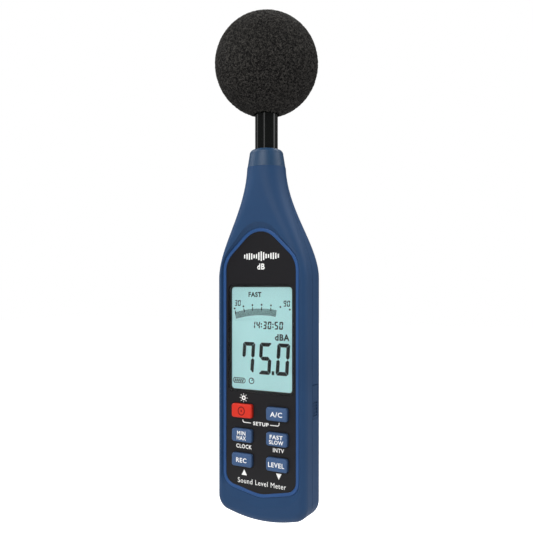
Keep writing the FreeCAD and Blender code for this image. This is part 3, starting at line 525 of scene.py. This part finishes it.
def lettering(text, centre, width, height, weight=0.0):
    """A word as a flat mesh of this width and height in millimetres, ink_thickness deep."""
    curve = bpy.data.curves.new("lettering", "FONT")
    curve.body = text
    curve.size = 1
    curve.offset = weight
    curve.resolution_u = 3
    curve.space_character = letter_spacing
    curve.extrude = 0.01
    carrier = bpy.data.objects.new("lettering", curve)
    scene.collection.objects.link(carrier)
    bpy.context.view_layer.update()
    shaped = carrier.evaluated_get(bpy.context.evaluated_depsgraph_get())
    mesh = bpy.data.meshes.new_from_object(shaped)
    bpy.data.objects.remove(carrier)
    points = [vertex.co for vertex in mesh.vertices]
    low = Vector([min(p[axis] for p in points) for axis in range(3)])
    high = Vector([max(p[axis] for p in points) for axis in range(3)])
    size = high - low
    for point in points:
        share = Vector([(point[axis] - low[axis]) / size[axis] for axis in range(3)])
        point.x = centre[0] + (share.x - 0.5) * width
        point.y = centre[1] + (share.y - 0.5) * height
        point.z = share.z * ink_thickness
    mesh.update()
    return mesh


print("letters are set", letter_spacing, "times their usual distance apart")

# %% [markdown]
# ## Lines and rings
# Symbols and frames are lines of an even width. A line could be a row of rectangles, but where two
# flat shapes overlap in one plane the renderer can't tell which is in front, and black patches
# show. So a line is cut into pieces that meet at a mitre, side by side, as a joiner cuts a frame.

# %% Lines and rings
def ring_outline(centre, radius, count=24):
    """Points round a circle."""
    angles = [math.radians(360 * index / count) for index in range(count)]
    return [(centre[0] + radius * math.cos(a), centre[1] + radius * math.sin(a)) for a in angles]


def stroke(points, width, closed=False):
    """Outlines side by side, mitred at the corners, that make a line of even width."""
    places = [Vector(point) for point in points]
    sides = []
    for index, here in enumerate(places):
        first, last = index == 0 and not closed, index == len(places) - 1 and not closed
        arrive = None if first else (here - places[index - 1]).normalized()
        leave = None if last else (places[(index + 1) % len(places)] - here).normalized()
        arrive = leave if first else arrive
        leave = arrive if last else leave
        along = (arrive + leave).normalized()
        across = Vector((-along.y, along.x)) * width / 2 / along.dot(arrive)
        sides.append((tuple(here - across), tuple(here + across)))
    following = sides[1:] + sides[:1] if closed else sides[1:]
    return [[right, next_right, next_left, left]
            for (right, left), (next_right, next_left) in zip(sides, following)]


print("a ring of 24 points makes", len(stroke(ring_outline((0, 0), 1), 0.1, closed=True)), "bars")

# %% [markdown]
# ## The display's figures
# Each figure lights some of seven segments. A font with such figures could be bought, but the real
# display's segments have their own width, lean and gaps, so they are drawn. A segment is a bar
# with slanting ends, so that neighbours meet at a mitre with a thin gap, and the whole figure
# leans forward by a few degrees.

# %% Seven segments
segments_lit = {"0": "abcdef", "1": "bc", "3": "abcdg", "4": "bcfg", "5": "acdfg", "7": "abcf",
                "9": "abcdfg"}
lean = math.tan(math.radians(4))


corner_cut = 0.45             # how far a segment's outer corners are cut, in bar widths


def figure(digit, left, low, width, height, bar, gap):
    """Outlines of the lit segments of one figure, from its lower left corner."""
    middle = height / 2
    half = bar / 2
    inner = width - bar
    cut = bar * corner_cut
    side = [(0, cut + gap), (cut / 2, cut / 2 + gap), (bar, bar + gap),
            (bar, middle - half - gap), (half, middle - gap), (0, middle - half)]
    foot = [(cut + gap, 0), (width - cut - gap, 0), (width - cut / 2 - gap, cut / 2),
            (inner - gap, bar), (bar + gap, bar), (cut / 2 + gap, cut / 2)]
    shapes = {
        "a": [(x, height - y) for x, y in foot],
        "b": [(width - x, height - y) for x, y in side],
        "c": [(width - x, y) for x, y in side],
        "d": foot,
        "e": side,
        "f": [(x, height - y) for x, y in side],
        "g": [(half + gap, middle), (bar + gap, middle + half), (inner - gap, middle + half),
              (width - half - gap, middle), (inner - gap, middle - half),
              (bar + gap, middle - half)],
    }
    return [[(left + x + (y - middle) * lean, low + y) for x, y in shapes[name]]
            for name in segments_lit[digit]]


print("figures it can show:", " ".join(segments_lit))

# %% Rows of figures
segment_gap = 0.04            # in bar widths
colon_heights = (0.3, 0.66)   # of the figure's height
colon_width = 0.42            # of the distance between figures


def figures(text, left, low, width, height, bar, pitch):
    """A row of figures and colons, each figure this far from the last."""
    outlines = []
    for character in text:
        if character == ":":
            for share in colon_heights:
                outlines.append(ring_outline((left + bar * 0.4, low + height * share),
                                             bar * 0.6, 8))
            left += pitch * colon_width
        else:
            outlines += figure(character, left, low, width, height, bar, bar * segment_gap)
            left += pitch
    return outlines


print("a colon takes", colon_width, "of the distance between figures")

# %% Reading, time and the ends of the scale
# width, height, bar and pitch of each size of figure
large = (8.1, 18.2, 2.15, 11.2)
medium = (2.35, 4.4, 0.75, 3.1)
small = (1.75, 3.3, 0.5, 2.3)
display_z = (glass_low.z + glass_high.z) / 2 / mm
reading_z, clock_z, range_z = display_z - 20.4, display_z + 5.6, display_z + 18.7
point_left, point_right, point_height = 6.6, 8.2, 2.2

reading = figures("75", -12.9, reading_z, *large) + figures("0", 9.7, reading_z, *large)
reading.append([(point_left, reading_z), (point_right, reading_z),
                (point_right, reading_z + point_height), (point_left, reading_z + point_height)])
clock_time = figures("14:30:50", -6.6, clock_z, *medium)
scale_ends = figures("30", -18.1, range_z, *small) + figures("90", 14.2, range_z, *small)
print("segments:", len(reading) + len(clock_time) + len(scale_ends))

# %% [markdown]
# ## The bar graph
# The level is also shown as many equal ticks along an arc. A loop could place them one by one,
# but Geometry Nodes do it with a curve and one tick that repeats, and the number of ticks, the
# radius and the sweep stay inputs that can be changed. The first cell below holds the helpers
# that every tree here uses, and the second one builds the arc's own tree.

# %% Geometry Nodes helpers
def new_tree(name, inputs):
    """A Geometry Nodes tree with named inputs, and the nodes that stand for its two ends."""
    tree = bpy.data.node_groups.new(name, "GeometryNodeTree")
    tree.interface.new_socket("Geometry", in_out="OUTPUT", socket_type="NodeSocketGeometry")
    for label, kind in inputs.items():
        tree.interface.new_socket(label, in_out="INPUT", socket_type="NodeSocket" + kind)
    return tree, tree.nodes.new("NodeGroupInput"), tree.nodes.new("NodeGroupOutput")


def close_tree(tree, geometry, material_input, ending):
    """Makes the instances real and gives them their material, because the export needs both."""
    solid = add(tree, "GeometryNodeRealizeInstances", {0: geometry})
    painted = add(tree, "GeometryNodeSetMaterial", {"Geometry": solid.outputs[0],
                                                    "Material": material_input})
    tree.links.new(painted.outputs[0], ending.inputs[0])


def grow(tree, **values):
    """Runs a tree on an empty mesh with the given inputs, and returns a plain mesh."""
    carrier = bpy.data.objects.new("carrier", bpy.data.meshes.new("carrier"))
    scene.collection.objects.link(carrier)
    modifier = carrier.modifiers.new("grow", "NODES")
    modifier.node_group = tree
    for item in tree.interface.items_tree:
        key = item.name.replace(" ", "_")
        if item.in_out == "INPUT" and key in values:
            modifier[item.identifier] = values[key]
    bpy.context.view_layer.update()
    shaped = carrier.evaluated_get(bpy.context.evaluated_depsgraph_get())
    mesh = bpy.data.meshes.new_from_object(shaped)
    bpy.data.objects.remove(carrier)
    return mesh


print("tree helpers:", [helper.__name__ for helper in (new_tree, close_tree, grow)])

# %% Tree of ticks
arc_points = 128
ticks_tree, given, ending = new_tree("arc_of_ticks", {
    "Radius": "Float", "Start": "Float", "Sweep": "Float", "Count": "Int",
    "Tick Size": "Vector", "Material": "Material"})
arc = add(ticks_tree, "GeometryNodeCurveArc", {
    "Resolution": arc_points, "Radius": given.outputs["Radius"],
    "Start Angle": given.outputs["Start"], "Sweep Angle": given.outputs["Sweep"]},
    mode="RADIUS")
spots = add(ticks_tree, "GeometryNodeCurveToPoints", {
    "Curve": arc.outputs["Curve"], "Count": given.outputs["Count"]})
tick = add(ticks_tree, "GeometryNodeMeshCube", {"Size": given.outputs["Tick Size"]})
row = add(ticks_tree, "GeometryNodeInstanceOnPoints", {
    "Points": spots.outputs["Points"], "Instance": tick.outputs["Mesh"],
    "Rotation": spots.outputs["Rotation"]})
close_tree(ticks_tree, row.outputs["Instances"], given.outputs["Material"], ending)
print("tree:", ticks_tree.name, len(ticks_tree.nodes), "nodes")

# %% Bar graph and its scale
graph_centre = (0, display_z - 49.2)
graph_inner, graph_outer = 62.7, 66.5
graph_start, graph_end = 105.6, 81.8      # degrees, from the left end to the right end
tick_count, tick_width = 46, 0.34
mark_width = 0.55
dot_radius, dot_rise = 0.55, 2.2
first_mark, mark_step = 105.3, 5.1        # degrees
dot_count, line_count = 7, 5
line_inside, line_outside = 1, 0.9        # how far a line reaches from the arc's outer edge


def on_arc(radius, angle):
    """A point above the middle of the bar graph's arc, at an angle in degrees."""
    return (graph_centre[0] + radius * math.cos(math.radians(angle)),
            graph_centre[1] + radius * math.sin(math.radians(angle)))


bar_graph = grow(ticks_tree, Radius=(graph_inner + graph_outer) / 2,
                 Start=math.radians(graph_end), Sweep=math.radians(graph_start - graph_end),
                 Count=tick_count,
                 Tick_Size=(graph_outer - graph_inner, 2 * ink_thickness, tick_width),
                 Material=faint_ink)
bar_graph.transform(Matrix.Translation((graph_centre[0], graph_centre[1], 0)))

scale_marks = []
for index in range(dot_count):
    angle = first_mark - mark_step * index
    scale_marks.append(ring_outline(on_arc(graph_outer + dot_rise, angle), dot_radius, 10))
    if index < line_count:
        scale_marks += stroke([on_arc(graph_outer - line_inside, angle),
                               on_arc(graph_outer + line_outside, angle)], mark_width)
print("ticks:", tick_count, "scale marks:", len(scale_marks))

# %% Battery and clock symbols
battery_corners = [(-18.2, -26.2), (-11.9, -26.2), (-11.0, -25.4), (-11.0, -24.2),
                   (-11.9, -23.4), (-18.2, -23.4), (-19.1, -24.2), (-19.1, -25.4)]
battery_icon = stroke([(x, display_z + z) for x, z in battery_corners], 0.42, closed=True)
charge_bars, first_bar, bar_step, bar_lean = 5, -18.0, 1.3, 0.5
for index in range(charge_bars):
    x = first_bar + bar_step * index
    battery_icon += stroke([(x, display_z - 25.7), (x + bar_lean, display_z - 23.9)], 0.75)

clock_x, clock_icon_z = -6.7, display_z - 24.6
clock_line = 0.5
clock_icon = stroke(ring_outline((clock_x, clock_icon_z), 1.6, 20), clock_line, closed=True)
clock_icon += stroke([(clock_x, clock_icon_z), (clock_x + 0.65, clock_icon_z + 0.75)],
                     clock_line)
hand_tip = [(0.2, 0.2), (1.15, 0.3), (0.4, 1.15)]
clock_icon.append([(clock_x + x, clock_icon_z + z) for x, z in hand_tip])
print("symbol parts:", len(battery_icon) + len(clock_icon))

# %% Put the display together
display_front = front_face(glass_low.y)
dark = [slabs(reading + clock_time + scale_ends + scale_marks + battery_icon + clock_icon,
              ink_thickness),
        lettering("FAST", (-4.4, display_z + 25.4), 8.6, 2.9, 1.5 * bold),
        lettering("dBA", (13.3, display_z + 1.2), 9.2, 3.7, 1.5 * bold)]
new_piece("display_figures", lay(join_meshes(dark), display_front), crystal_ink, "case")
new_piece("display_bar_graph", lay(bar_graph, display_front), faint_ink, "case")
print("display pieces: 2, words:", len(dark) - 1)

# %% [markdown]
# ## Legends on the panel and the keys
# The panel carries white words and symbols under and above the keys, and each key carries its
# own. Their places are measured from the keys' centres, so they follow when a key is moved in the
# CAD model. Where a maker would print a name, this meter has a plain row of bars like a sound
# wave.

# %% Where the keys are
key_centres = {}
for name in nodes:
    if name.startswith("key_"):
        low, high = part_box(name)
        key_centres[name] = ((low.x + high.x) / 2 / mm, (low.z + high.z) / 2 / mm, low.y)
left_column, top_row = key_centres["key_power"][:2]
right_column = key_centres["key_weighting"][0]
low_row = key_centres["key_level"][1]
mid_row = key_centres["key_response"][1]
print("columns at", round(left_column, 1), "and", round(right_column, 1), "mm")

# %% Panel symbols
sun_radius, sun_line = 1.0, 0.75
sun_rays, ray_start, ray_end, ray_width = 8, 1.9, 2.6, 0.35
wave_bars, wave_bar_width, wave_ripple = 15, 0.8, 4.2


def sun_symbol(centre):
    """The backlight's sign: a ring with rays."""
    outlines = stroke(ring_outline(centre, sun_radius, 18), sun_line, closed=True)
    for index in range(sun_rays):
        angle = math.radians(360 / sun_rays * index)
        outlines += stroke([(centre[0] + math.cos(angle) * reach,
                             centre[1] + math.sin(angle) * reach)
                            for reach in (ray_start, ray_end)], ray_width)
    return outlines


def wave_symbol(centre, width, height):
    """Upright bars whose heights swell and fade like a sound wave."""
    outlines = []
    for index in range(wave_bars):
        share = index / (wave_bars - 1) * 2 - 1
        swell = abs(math.cos(share * wave_ripple)) * (1 - 0.55 * abs(share))
        tall = height * (0.25 + 0.75 * swell)
        x = centre[0] + share * width / 2
        outlines += stroke([(x, centre[1] - tall / 2), (x, centre[1] + tall / 2)],
                           wave_bar_width)
    return outlines


def triangle(centre, width, height):
    """An arrow head that points up, or down when its height is negative."""
    x, y = centre
    return [(x - width / 2, y - height / 2), (x + width / 2, y - height / 2),
            (x, y + height / 2)]


print("a wave of", wave_bars, "bars and a sun with", sun_rays, "rays")

# %% Panel legends
setup_z = top_row - 6.7
bracket_line, bracket_corner = 0.45, 0.7
bracket = stroke([(left_column, top_row - 5.2), (left_column, setup_z + bracket_corner),
                  (left_column + bracket_corner, setup_z), (left_column + 5.4, setup_z)],
                 bracket_line)
bracket += stroke([(right_column - 4.9, setup_z), (right_column + 0.2, setup_z),
                   (right_column + 0.9, setup_z + bracket_corner),
                   (right_column + 0.9, top_row - 4.7)], bracket_line)
symbols = sun_symbol((left_column + 0.5, top_row + 7.4)) + bracket
symbols.append(triangle((left_column + 0.9, low_row - 7.2), 3.6, 3.4))
symbols.append(triangle((right_column + 0.7, low_row - 6.7), 3.6, -3.4))
symbols += wave_symbol((0.8, 69.6), 22, 5.4)
panel_marks = [slabs(symbols, ink_thickness),
               lettering("SETUP", (0.5, setup_z), 10.2, 2.1, bold),
               lettering("CLOCK", (left_column + 0.7, mid_row - 6.5), 10.4, 2.4, bold),
               lettering("INTV", (right_column + 0.5, mid_row - 6.3), 7.0, 2.4, 0.7 * bold),
               lettering("dB", (0.6, 63.7), 4.8, 3.4, bold),
               lettering("Sound Level Meter", (0.9, low_row - 12.1), 31.5, 2.9)]
panel_face = front_face(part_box("front_panel")[0].y)
new_piece("panel_legends", lay(join_meshes(panel_marks), panel_face), white_ink, "case")
print("panel words:", len(panel_marks) - 1)

# %% [markdown]
# ## Legends on the keys
# A key's legend is printed on its face. It could be part of the panel's piece, but then it would
# stay behind when the key is pressed, so each legend is a piece of its own that rides on its key.

# %% Key legends
# each line's words, how far it stands above the key's centre, its width and its height
key_words = {
    "key_weighting": [("A/C", 0, 7.6, 2.8)],
    "key_min_max": [("MIN", 1.4, 5.6, 2.3), ("MAX", -1.4, 6.2, 2.3)],
    "key_response": [("FAST", 1.45, 8.2, 2.3), ("SLOW", -1.45, 9.0, 2.3)],
    "key_record": [("REC", 0, 6.9, 2.7)],
    "key_level": [("LEVEL", 0, 10.2, 2.7)],
}
for name, lines in key_words.items():
    x, z, face_y = key_centres[name]
    words = [lettering(text, (x, z + rise), width, height, 0.7 * bold)
             for text, rise, width, height in lines]
    new_piece(name + "_legend", lay(join_meshes(words), front_face(face_y)), white_ink, name)
print("key legends:", len(key_words))

# %% Power symbol
power_x, power_z, power_y = key_centres["key_power"]
oval_half_width, oval_half_height = 2.1, 2.35
ring_points = [(power_x + oval_half_width * x, power_z + oval_half_height * y)
               for x, y in ring_outline((0, 0), 1)]
power_symbol = stroke(ring_points, 0.6, closed=True)
power_symbol += stroke([(power_x, power_z - 0.6), (power_x, power_z + 0.6)], 0.75)
new_piece("key_power_symbol", lay(slabs(power_symbol, ink_thickness), front_face(power_y)),
          icon_ink, "key_power")
print("power symbol parts:", len(power_symbol))

# %% [markdown]
# ## The back and the sides
# The back has a plain rating label, and the battery door has a raised arrow in its own plastic
# that points to the end that opens. The sockets on the left side have white printed words. They
# could be an image on the case, but the slabs and lettering of the panel serve here as well, laid
# on faces that look backwards and to the left.

# %% Rating label
label_low, label_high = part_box("rating_label")
back = Face((0, label_high.y, 0), (-1, 0, 0), (0, 0, 1))
label_z = (label_low.z + label_high.z) / 2 / mm
frame_x, frame_z, frame_line = 15.6, 10.6, 0.25
rule_z = label_z + 3.2
label_frame = stroke([(-frame_x, label_z - frame_z), (frame_x, label_z - frame_z),
                      (frame_x, label_z + frame_z), (-frame_x, label_z + frame_z)],
                     frame_line, closed=True)
label_frame += stroke([(-frame_x, rule_z), (frame_x, rule_z)], frame_line)
label_marks = [slabs(label_frame, ink_thickness),
               lettering("SOUND LEVEL METER", (0, label_z + 6.8), 26, 2.4),
               lettering("30 - 130 dB", (0, label_z - 0.4), 16, 2.2),
               lettering("4 x 1.5 V  AAA", (0, label_z - 5.6), 18, 2.2)]
new_piece("rating_label_print", lay(join_meshes(label_marks), back), crystal_ink, "case")
print("label lines:", len(label_marks) - 1)

# %% Battery door arrow and side words
door_face = Face((0, 0, 0), (-1, 0, 0), (0, 0, 1))
arrow_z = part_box("battery_door")[1].z / mm - 16
arrow_height = 0.15
arrow = [[(-2.6, arrow_z + 2), (0, arrow_z + 5), (2.6, arrow_z + 2)]]
arrow += stroke([(0, arrow_z - 2), (0, arrow_z + 2.5)], 1.6)
new_piece("battery_door_arrow", lay(slabs(arrow, arrow_height), door_face), case_abs,
          "battery_door")

left_side = Face((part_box("rear_case")[0].x, 0, 0), (0, -1, 0), (0, 0, 1))
jack_low, jack_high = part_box("output_jack")
jack_x = -(jack_low.y + jack_high.y) / 2 / mm
dc_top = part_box("dc_jack")[1].z / mm
side_word_height = 1.6
side_marks = [
    lettering("OUT", (jack_x, jack_low.z / mm - side_word_height), 4.4, side_word_height),
    lettering("DC 6V", (jack_x, dc_top + side_word_height), 5.6, side_word_height)]
new_piece("side_marks", lay(join_meshes(side_marks), left_side), white_ink, "case")
print("side words:", len(side_marks))

# %% [markdown]
# ## Battery springs
# Each cell rests on a conical coil of nickel-plated spring wire. In the CAD model a thin cone
# stands for it. A screw modifier could wind it too, but a spiral that narrows as it rises,
# thickened into round wire, is the real thing, and one tree winds all four.

# %% Spring tree
coil_points, wire_sides = 28, 10
spring_tree, given, ending = new_tree("conical_spring", {
    "Turns": "Float", "Base Radius": "Float", "Tip Radius": "Float", "Height": "Float",
    "Wire Radius": "Float", "Material": "Material"})
coil = add(spring_tree, "GeometryNodeCurveSpiral", {
    "Resolution": coil_points, "Rotations": given.outputs["Turns"],
    "Start Radius": given.outputs["Base Radius"], "End Radius": given.outputs["Tip Radius"],
    "Height": given.outputs["Height"]})
wire = add(spring_tree, "GeometryNodeCurvePrimitiveCircle", {
    "Resolution": wire_sides, "Radius": given.outputs["Wire Radius"]}, mode="RADIUS")
wound = add(spring_tree, "GeometryNodeCurveToMesh", {
    "Curve": coil.outputs[0], "Profile Curve": wire.outputs[0], "Fill Caps": True})
smooth = add(spring_tree, "GeometryNodeSetShadeSmooth", {"Geometry": wound.outputs[0]})
close_tree(spring_tree, smooth.outputs[0], given.outputs["Material"], ending)
print("tree:", spring_tree.name, len(spring_tree.nodes), "nodes")

# %% Wind the springs
springs_low, springs_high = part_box("battery_springs")
wire_radius = 0.3 * mm
end_room = 2.4 * wire_radius      # for half a wire at each end, and a little air
coils = []
for number in cell_numbers:
    low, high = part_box("battery_cell_" + str(number))
    upward = button_up(number)    # a spring presses on the end without the button
    room = low.z - springs_low.z if upward else springs_high.z - high.z
    spring = grow(spring_tree, Turns=4.5, Base_Radius=3.8 * mm, Tip_Radius=2.4 * mm,
                  Height=room - end_room, Wire_Radius=wire_radius, Material=nickel)
    stand = (springs_low.z + wire_radius) if upward else (springs_high.z - wire_radius)
    turn = Matrix.Identity(4) if upward else Matrix.Rotation(math.pi, 4, "X")
    place = Matrix.Translation(((low.x + high.x) / 2, (low.y + high.y) / 2, stand))
    spring.transform(place @ turn)
    coils.append(spring)
battery_coils = new_piece("battery_coil_springs", join_meshes(coils), nickel, "case")
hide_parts("battery_springs")
print("springs:", len(coils))

# %% [markdown]
# ## The pad on the battery door
# A strip of closed-cell foam inside the door stops the cells rattling. It is cut with a knife
# from sheet, so its edges are square and only a little rounded by the cut, and its skin is rough
# with small closed bubbles. The bubbles are far too small to model on a hidden strip, so it is a
# plain block with bevelled edges, and the material gives the skin.

# %% Door pad
pad_low, pad_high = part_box("door_pad")
cut_edge = 0.2 * mm
pad_shape = bmesh.new()
bmesh.ops.create_cube(pad_shape, size=1.0, matrix=Matrix.LocRotScale(
    (pad_low + pad_high) / 2, None, pad_high - pad_low))
bmesh.ops.bevel(pad_shape, geom=pad_shape.edges[:], offset=cut_edge, segments=2, affect="EDGES")
pad_mesh = bpy.data.meshes.new("door_pad_foam")
pad_shape.to_mesh(pad_mesh)
pad_shape.free()
pad = new_piece("door_pad_foam", pad_mesh, pad_foam, "battery_door")
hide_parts("door_pad")
print("pad:", [round(side / mm, 1) for side in pad_high - pad_low])

# %% [markdown]
# ## The foam windscreen
# Open-cell foam is a sponge of thin struts round small pores. A ball of it is never smooth: its
# skin is cut through the pores. Modelling every strut would take millions of faces, so the skin
# of a finely divided ball is pushed inwards at each pore instead. The pores come from a Voronoi
# pattern, whose distance to the nearest cell centre is deepest in the middle of a cell. Points
# over the hole for the microphone are pushed up to the hole's end, which opens a real bore. How
# deep each point lies is kept as an attribute, so that the material can paint shade into the
# pores and paint highlights on the struts.

# %% Foam tree: a ball with pores
ball_subdivisions = 7
pore_floor, pore_rim = 0.35, 0.85     # distances from a pore's centre, in pore sizes
pore_push = -1.6                      # inwards, in pore depths
foam_tree, given, ending = new_tree("open_cell_foam_ball", {
    "Radius": "Float", "Bore Radius": "Float", "Bore End": "Float", "Pore Size": "Float",
    "Pore Depth": "Float", "Seed": "Float", "Material": "Material"})
ball = add(foam_tree, "GeometryNodeMeshIcoSphere", {
    "Radius": given.outputs["Radius"], "Subdivisions": ball_subdivisions})
where = add(foam_tree, "GeometryNodeInputPosition")
fineness = add(foam_tree, "ShaderNodeMath", {0: 1.0, 1: given.outputs["Pore Size"]},
               operation="DIVIDE")
coarse = add(foam_tree, "ShaderNodeTexVoronoi", {
    "Vector": where.outputs[0], "W": given.outputs["Seed"], "Scale": fineness.outputs[0],
    "Randomness": 1.0}, voronoi_dimensions="4D", feature="F1")
opened = add(foam_tree, "ShaderNodeMapRange", {
    "Value": coarse.outputs["Distance"], "From Min": pore_floor, "From Max": pore_rim,
    "To Min": 1.0, "To Max": 0.0}, interpolation_type="SMOOTHSTEP")
grain = add(foam_tree, "ShaderNodeTexNoise", {
    "Vector": where.outputs[0], "W": given.outputs["Seed"], "Scale": fineness.outputs[0],
    "Detail": 2.0}, noise_dimensions="4D")
mixed = add(foam_tree, "ShaderNodeMath", {0: opened.outputs["Result"], 1: grain.outputs[0]},
            operation="MULTIPLY")
stored = add(foam_tree, "GeometryNodeStoreNamedAttribute", {
    "Geometry": ball.outputs["Mesh"], "Name": "pore", "Value": mixed.outputs[0]},
    data_type="FLOAT", domain="POINT")
normal = add(foam_tree, "GeometryNodeInputNormal")
sink = add(foam_tree, "ShaderNodeMath", {0: mixed.outputs[0], 1: given.outputs["Pore Depth"]},
           operation="MULTIPLY")
inward = add(foam_tree, "ShaderNodeMath", {0: sink.outputs[0], 1: pore_push},
             operation="MULTIPLY")
push = add(foam_tree, "ShaderNodeVectorMath", {0: normal.outputs[0],
                                               "Scale": inward.outputs[0]}, operation="SCALE")
pitted = add(foam_tree, "GeometryNodeSetPosition", {"Geometry": stored.outputs["Geometry"],
                                                    "Offset": push.outputs[0]})
print("pore nodes:", len(foam_tree.nodes))

# %% Foam tree: the bore for the microphone
spread = add(foam_tree, "ShaderNodeSeparateXYZ", {"Vector": where.outputs[0]})
flat_place = add(foam_tree, "ShaderNodeCombineXYZ", {"X": spread.outputs["X"],
                                                     "Y": spread.outputs["Y"]})
from_axis = add(foam_tree, "ShaderNodeVectorMath", {0: flat_place.outputs[0]},
                operation="LENGTH")
over_bore = add(foam_tree, "ShaderNodeMath", {0: from_axis.outputs["Value"],
                                              1: given.outputs["Bore Radius"]},
                operation="LESS_THAN")
underneath = add(foam_tree, "ShaderNodeMath", {0: spread.outputs["Z"], 1: 0.0},
                 operation="LESS_THAN")
in_bore = add(foam_tree, "ShaderNodeMath", {0: over_bore.outputs[0], 1: underneath.outputs[0]},
              operation="MULTIPLY")
bore_roof = add(foam_tree, "ShaderNodeCombineXYZ", {
    "X": spread.outputs["X"], "Y": spread.outputs["Y"], "Z": given.outputs["Bore End"]})
bored = add(foam_tree, "GeometryNodeSetPosition", {
    "Geometry": pitted.outputs["Geometry"], "Selection": in_bore.outputs[0],
    "Position": bore_roof.outputs[0]})
close_tree(foam_tree, bored.outputs["Geometry"], given.outputs["Material"], ending)
print("foam tree:", len(foam_tree.nodes), "nodes")

# %% [markdown]
# ## The foam's colour
# The foam is black polyurethane. Its struts are as black as its pores, but they catch the light
# and go grey while the pores lie in shade, so the colour paints both: painted shade in the pores
# and painted highlights on the struts, from the kept depth, broken up by noise as fine as the
# struts. One flat black with more relief would do for a distant view, but it loses the painted
# highlights that show as specks. Foam has no gloss, so the specular level is very low.

# %% Foam material
strut_width = 0.45 * mm
pore_shade = -0.35            # how much a pore's depth lowers the tone
foam, tree, shader = new_material("open_cell_polyurethane", IOR=1.45, Roughness=0.85,
                                  Specular_IOR_Level=0.1)
# The ramp paints shade into the deep pores and paints grey highlights on the struts; the foam
# itself is black throughout.
pore = add(tree, "ShaderNodeAttribute", attribute_name="pore")
raised = add(tree, "ShaderNodeMath", {
    0: pore.outputs["Fac"], 1: pore_shade, 2: unevenness(tree, strut_width, 1.0)},
    operation="MULTIPLY_ADD")
painted_shade_and_highlight_ramp = add(tree, "ShaderNodeValToRGB", {"Fac": raised.outputs[0]})
painted_pore_shade, painted_strut_highlight = painted_shade_and_highlight_ramp.color_ramp.elements
painted_pore_shade.position, painted_pore_shade.color = 0.32, linear("#0b0b0b")
painted_strut_highlight.position, painted_strut_highlight.color = 0.64, linear("#403e3b")
tree.links.new(painted_shade_and_highlight_ramp.outputs["Color"], shader.inputs["Base Color"])
roughen(tree, shader, 0.5 * mm, 0.2 * mm)
print(foam.name)

# %% Foam ball
# The bore is a little wider than the tube and ends a little above the microphone's grid.
bore_radius = 7.0 * mm
air_over_grid = 0.3 * mm
screen_low, screen_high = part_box("windscreen")
ball_radius = (screen_high.x - screen_low.x) / 2
ball_z = screen_high.z - ball_radius
grid_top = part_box("microphone_grid")[1].z
ball_mesh = grow(foam_tree, Radius=ball_radius, Bore_Radius=bore_radius,
                 Bore_End=grid_top + air_over_grid - ball_z, Pore_Size=1.1 * mm,
                 Pore_Depth=0.6 * mm, Seed=3.0, Material=foam)
ball_mesh.transform(Matrix.Translation((0, (screen_low.y + screen_high.y) / 2, ball_z)))
foam_ball = new_piece("foam_windscreen", ball_mesh, foam, "windscreen")
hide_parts("windscreen")
print("foam faces:", len(ball_mesh.polygons))

# %% [markdown]
# ## Light
# Product shots of dark, satin objects use large soft boxes. Here four hang high, in front, on both
# sides and behind, so that they light the case without being mirrored in it, which would turn the
# dark blue milky. Three low strips near the meter's own level give little light, but they are
# what the lacquered tube mirrors as clear stripes. A picture of a studio could light the scene
# instead, but lamps can be moved one at a time while looking.

# %% Soft boxes
aim = Vector((0, tube_axis.y, 60 * mm))


def soft_box(name, azimuth, height, distance, width, tall, watts):
    """A rectangular light, aimed at the meter. Azimuth 0 is in front of the display."""
    light = bpy.data.lights.new(name, "AREA")
    light.shape = "RECTANGLE"
    light.size = width
    light.size_y = tall
    light.energy = watts
    lamp = bpy.data.objects.new(name, light)
    angle = math.radians(azimuth)
    lamp.location = aim + Vector((distance * math.sin(angle), -distance * math.cos(angle),
                                  height))
    lamp.rotation_euler = (aim - lamp.location).to_track_quat("-Z", "Y").to_euler()
    scene.collection.objects.link(lamp)


# name, azimuth in degrees, then in metres the height over the aim, the distance, and the box's
# width and height, then watts
soft_boxes = [
    ("key_light", 0, 0.75, 0.9, 0.7, 0.6, 12),
    ("right_light", 112, 0.75, 0.9, 0.7, 0.6, 7),
    ("left_light", -80, 0.75, 0.9, 0.6, 0.6, 6),
    ("left_strip", -77, 0.05, 0.9, 0.2, 0.9, 0.5),
    ("front_strip", 6, 0.05, 1.0, 0.15, 0.9, 0.8),
    ("right_strip", 115, 0.05, 0.9, 0.3, 0.9, 1.3),
    ("back_light", 185, 1.0, 0.6, 0.7, 0.6, 8),
]
for settings in soft_boxes:
    soft_box(*settings)
print("soft boxes:", len(soft_boxes), "watts:", round(sum(row[-1] for row in soft_boxes), 1))

# %% [markdown]
# ## Floor and sky
# The floor lies well below the meter, as if the meter were held up by its tripod socket. Paper and
# sky that were bright enough to look white would flood a dark object with light, so both are
# white only to the camera, and light everything else more gently.

# %% White surroundings
sky_light, floor_light = 0.12, 0.05
floor_reach, floor_drop = 6.0, 0.25
white = (1, 1, 1, 1)


def show_white(tree, target, light_strength):
    """White to the camera, and a gentler light to everything else."""
    path = add(tree, "ShaderNodeLightPath")
    strength = add(tree, "ShaderNodeMapRange", {
        "Value": path.outputs["Is Camera Ray"], "To Min": light_strength, "To Max": 1.0})
    tree.links.new(strength.outputs["Result"], target)


world = bpy.data.worlds.new("white_studio")
scene.world = world
world.use_nodes = True
sky = world.node_tree.nodes["Background"]
sky.inputs["Color"].default_value = white
show_white(world.node_tree, sky.inputs["Strength"], sky_light)

floor_mesh = bpy.data.meshes.new("floor")
floor_z = cad_box[0][2] - floor_drop
corners = [(x * floor_reach, y * floor_reach, floor_z)
           for x, y in ((-1, -1), (1, -1), (1, 1), (-1, 1))]
floor_mesh.from_pydata(corners, [], [(0, 1, 2, 3)])
floor = bpy.data.objects.new("floor", floor_mesh)
scene.collection.objects.link(floor)
paper, tree, shader = new_material("white_paper", Roughness=0.9, Emission_Color=white,
                                   Base_Color=linear("#f2f2f2"))
show_white(tree, shader.inputs["Emission Strength"], floor_light)
floor_mesh.materials.append(paper)
print("floor at", round(floor_z, 3))
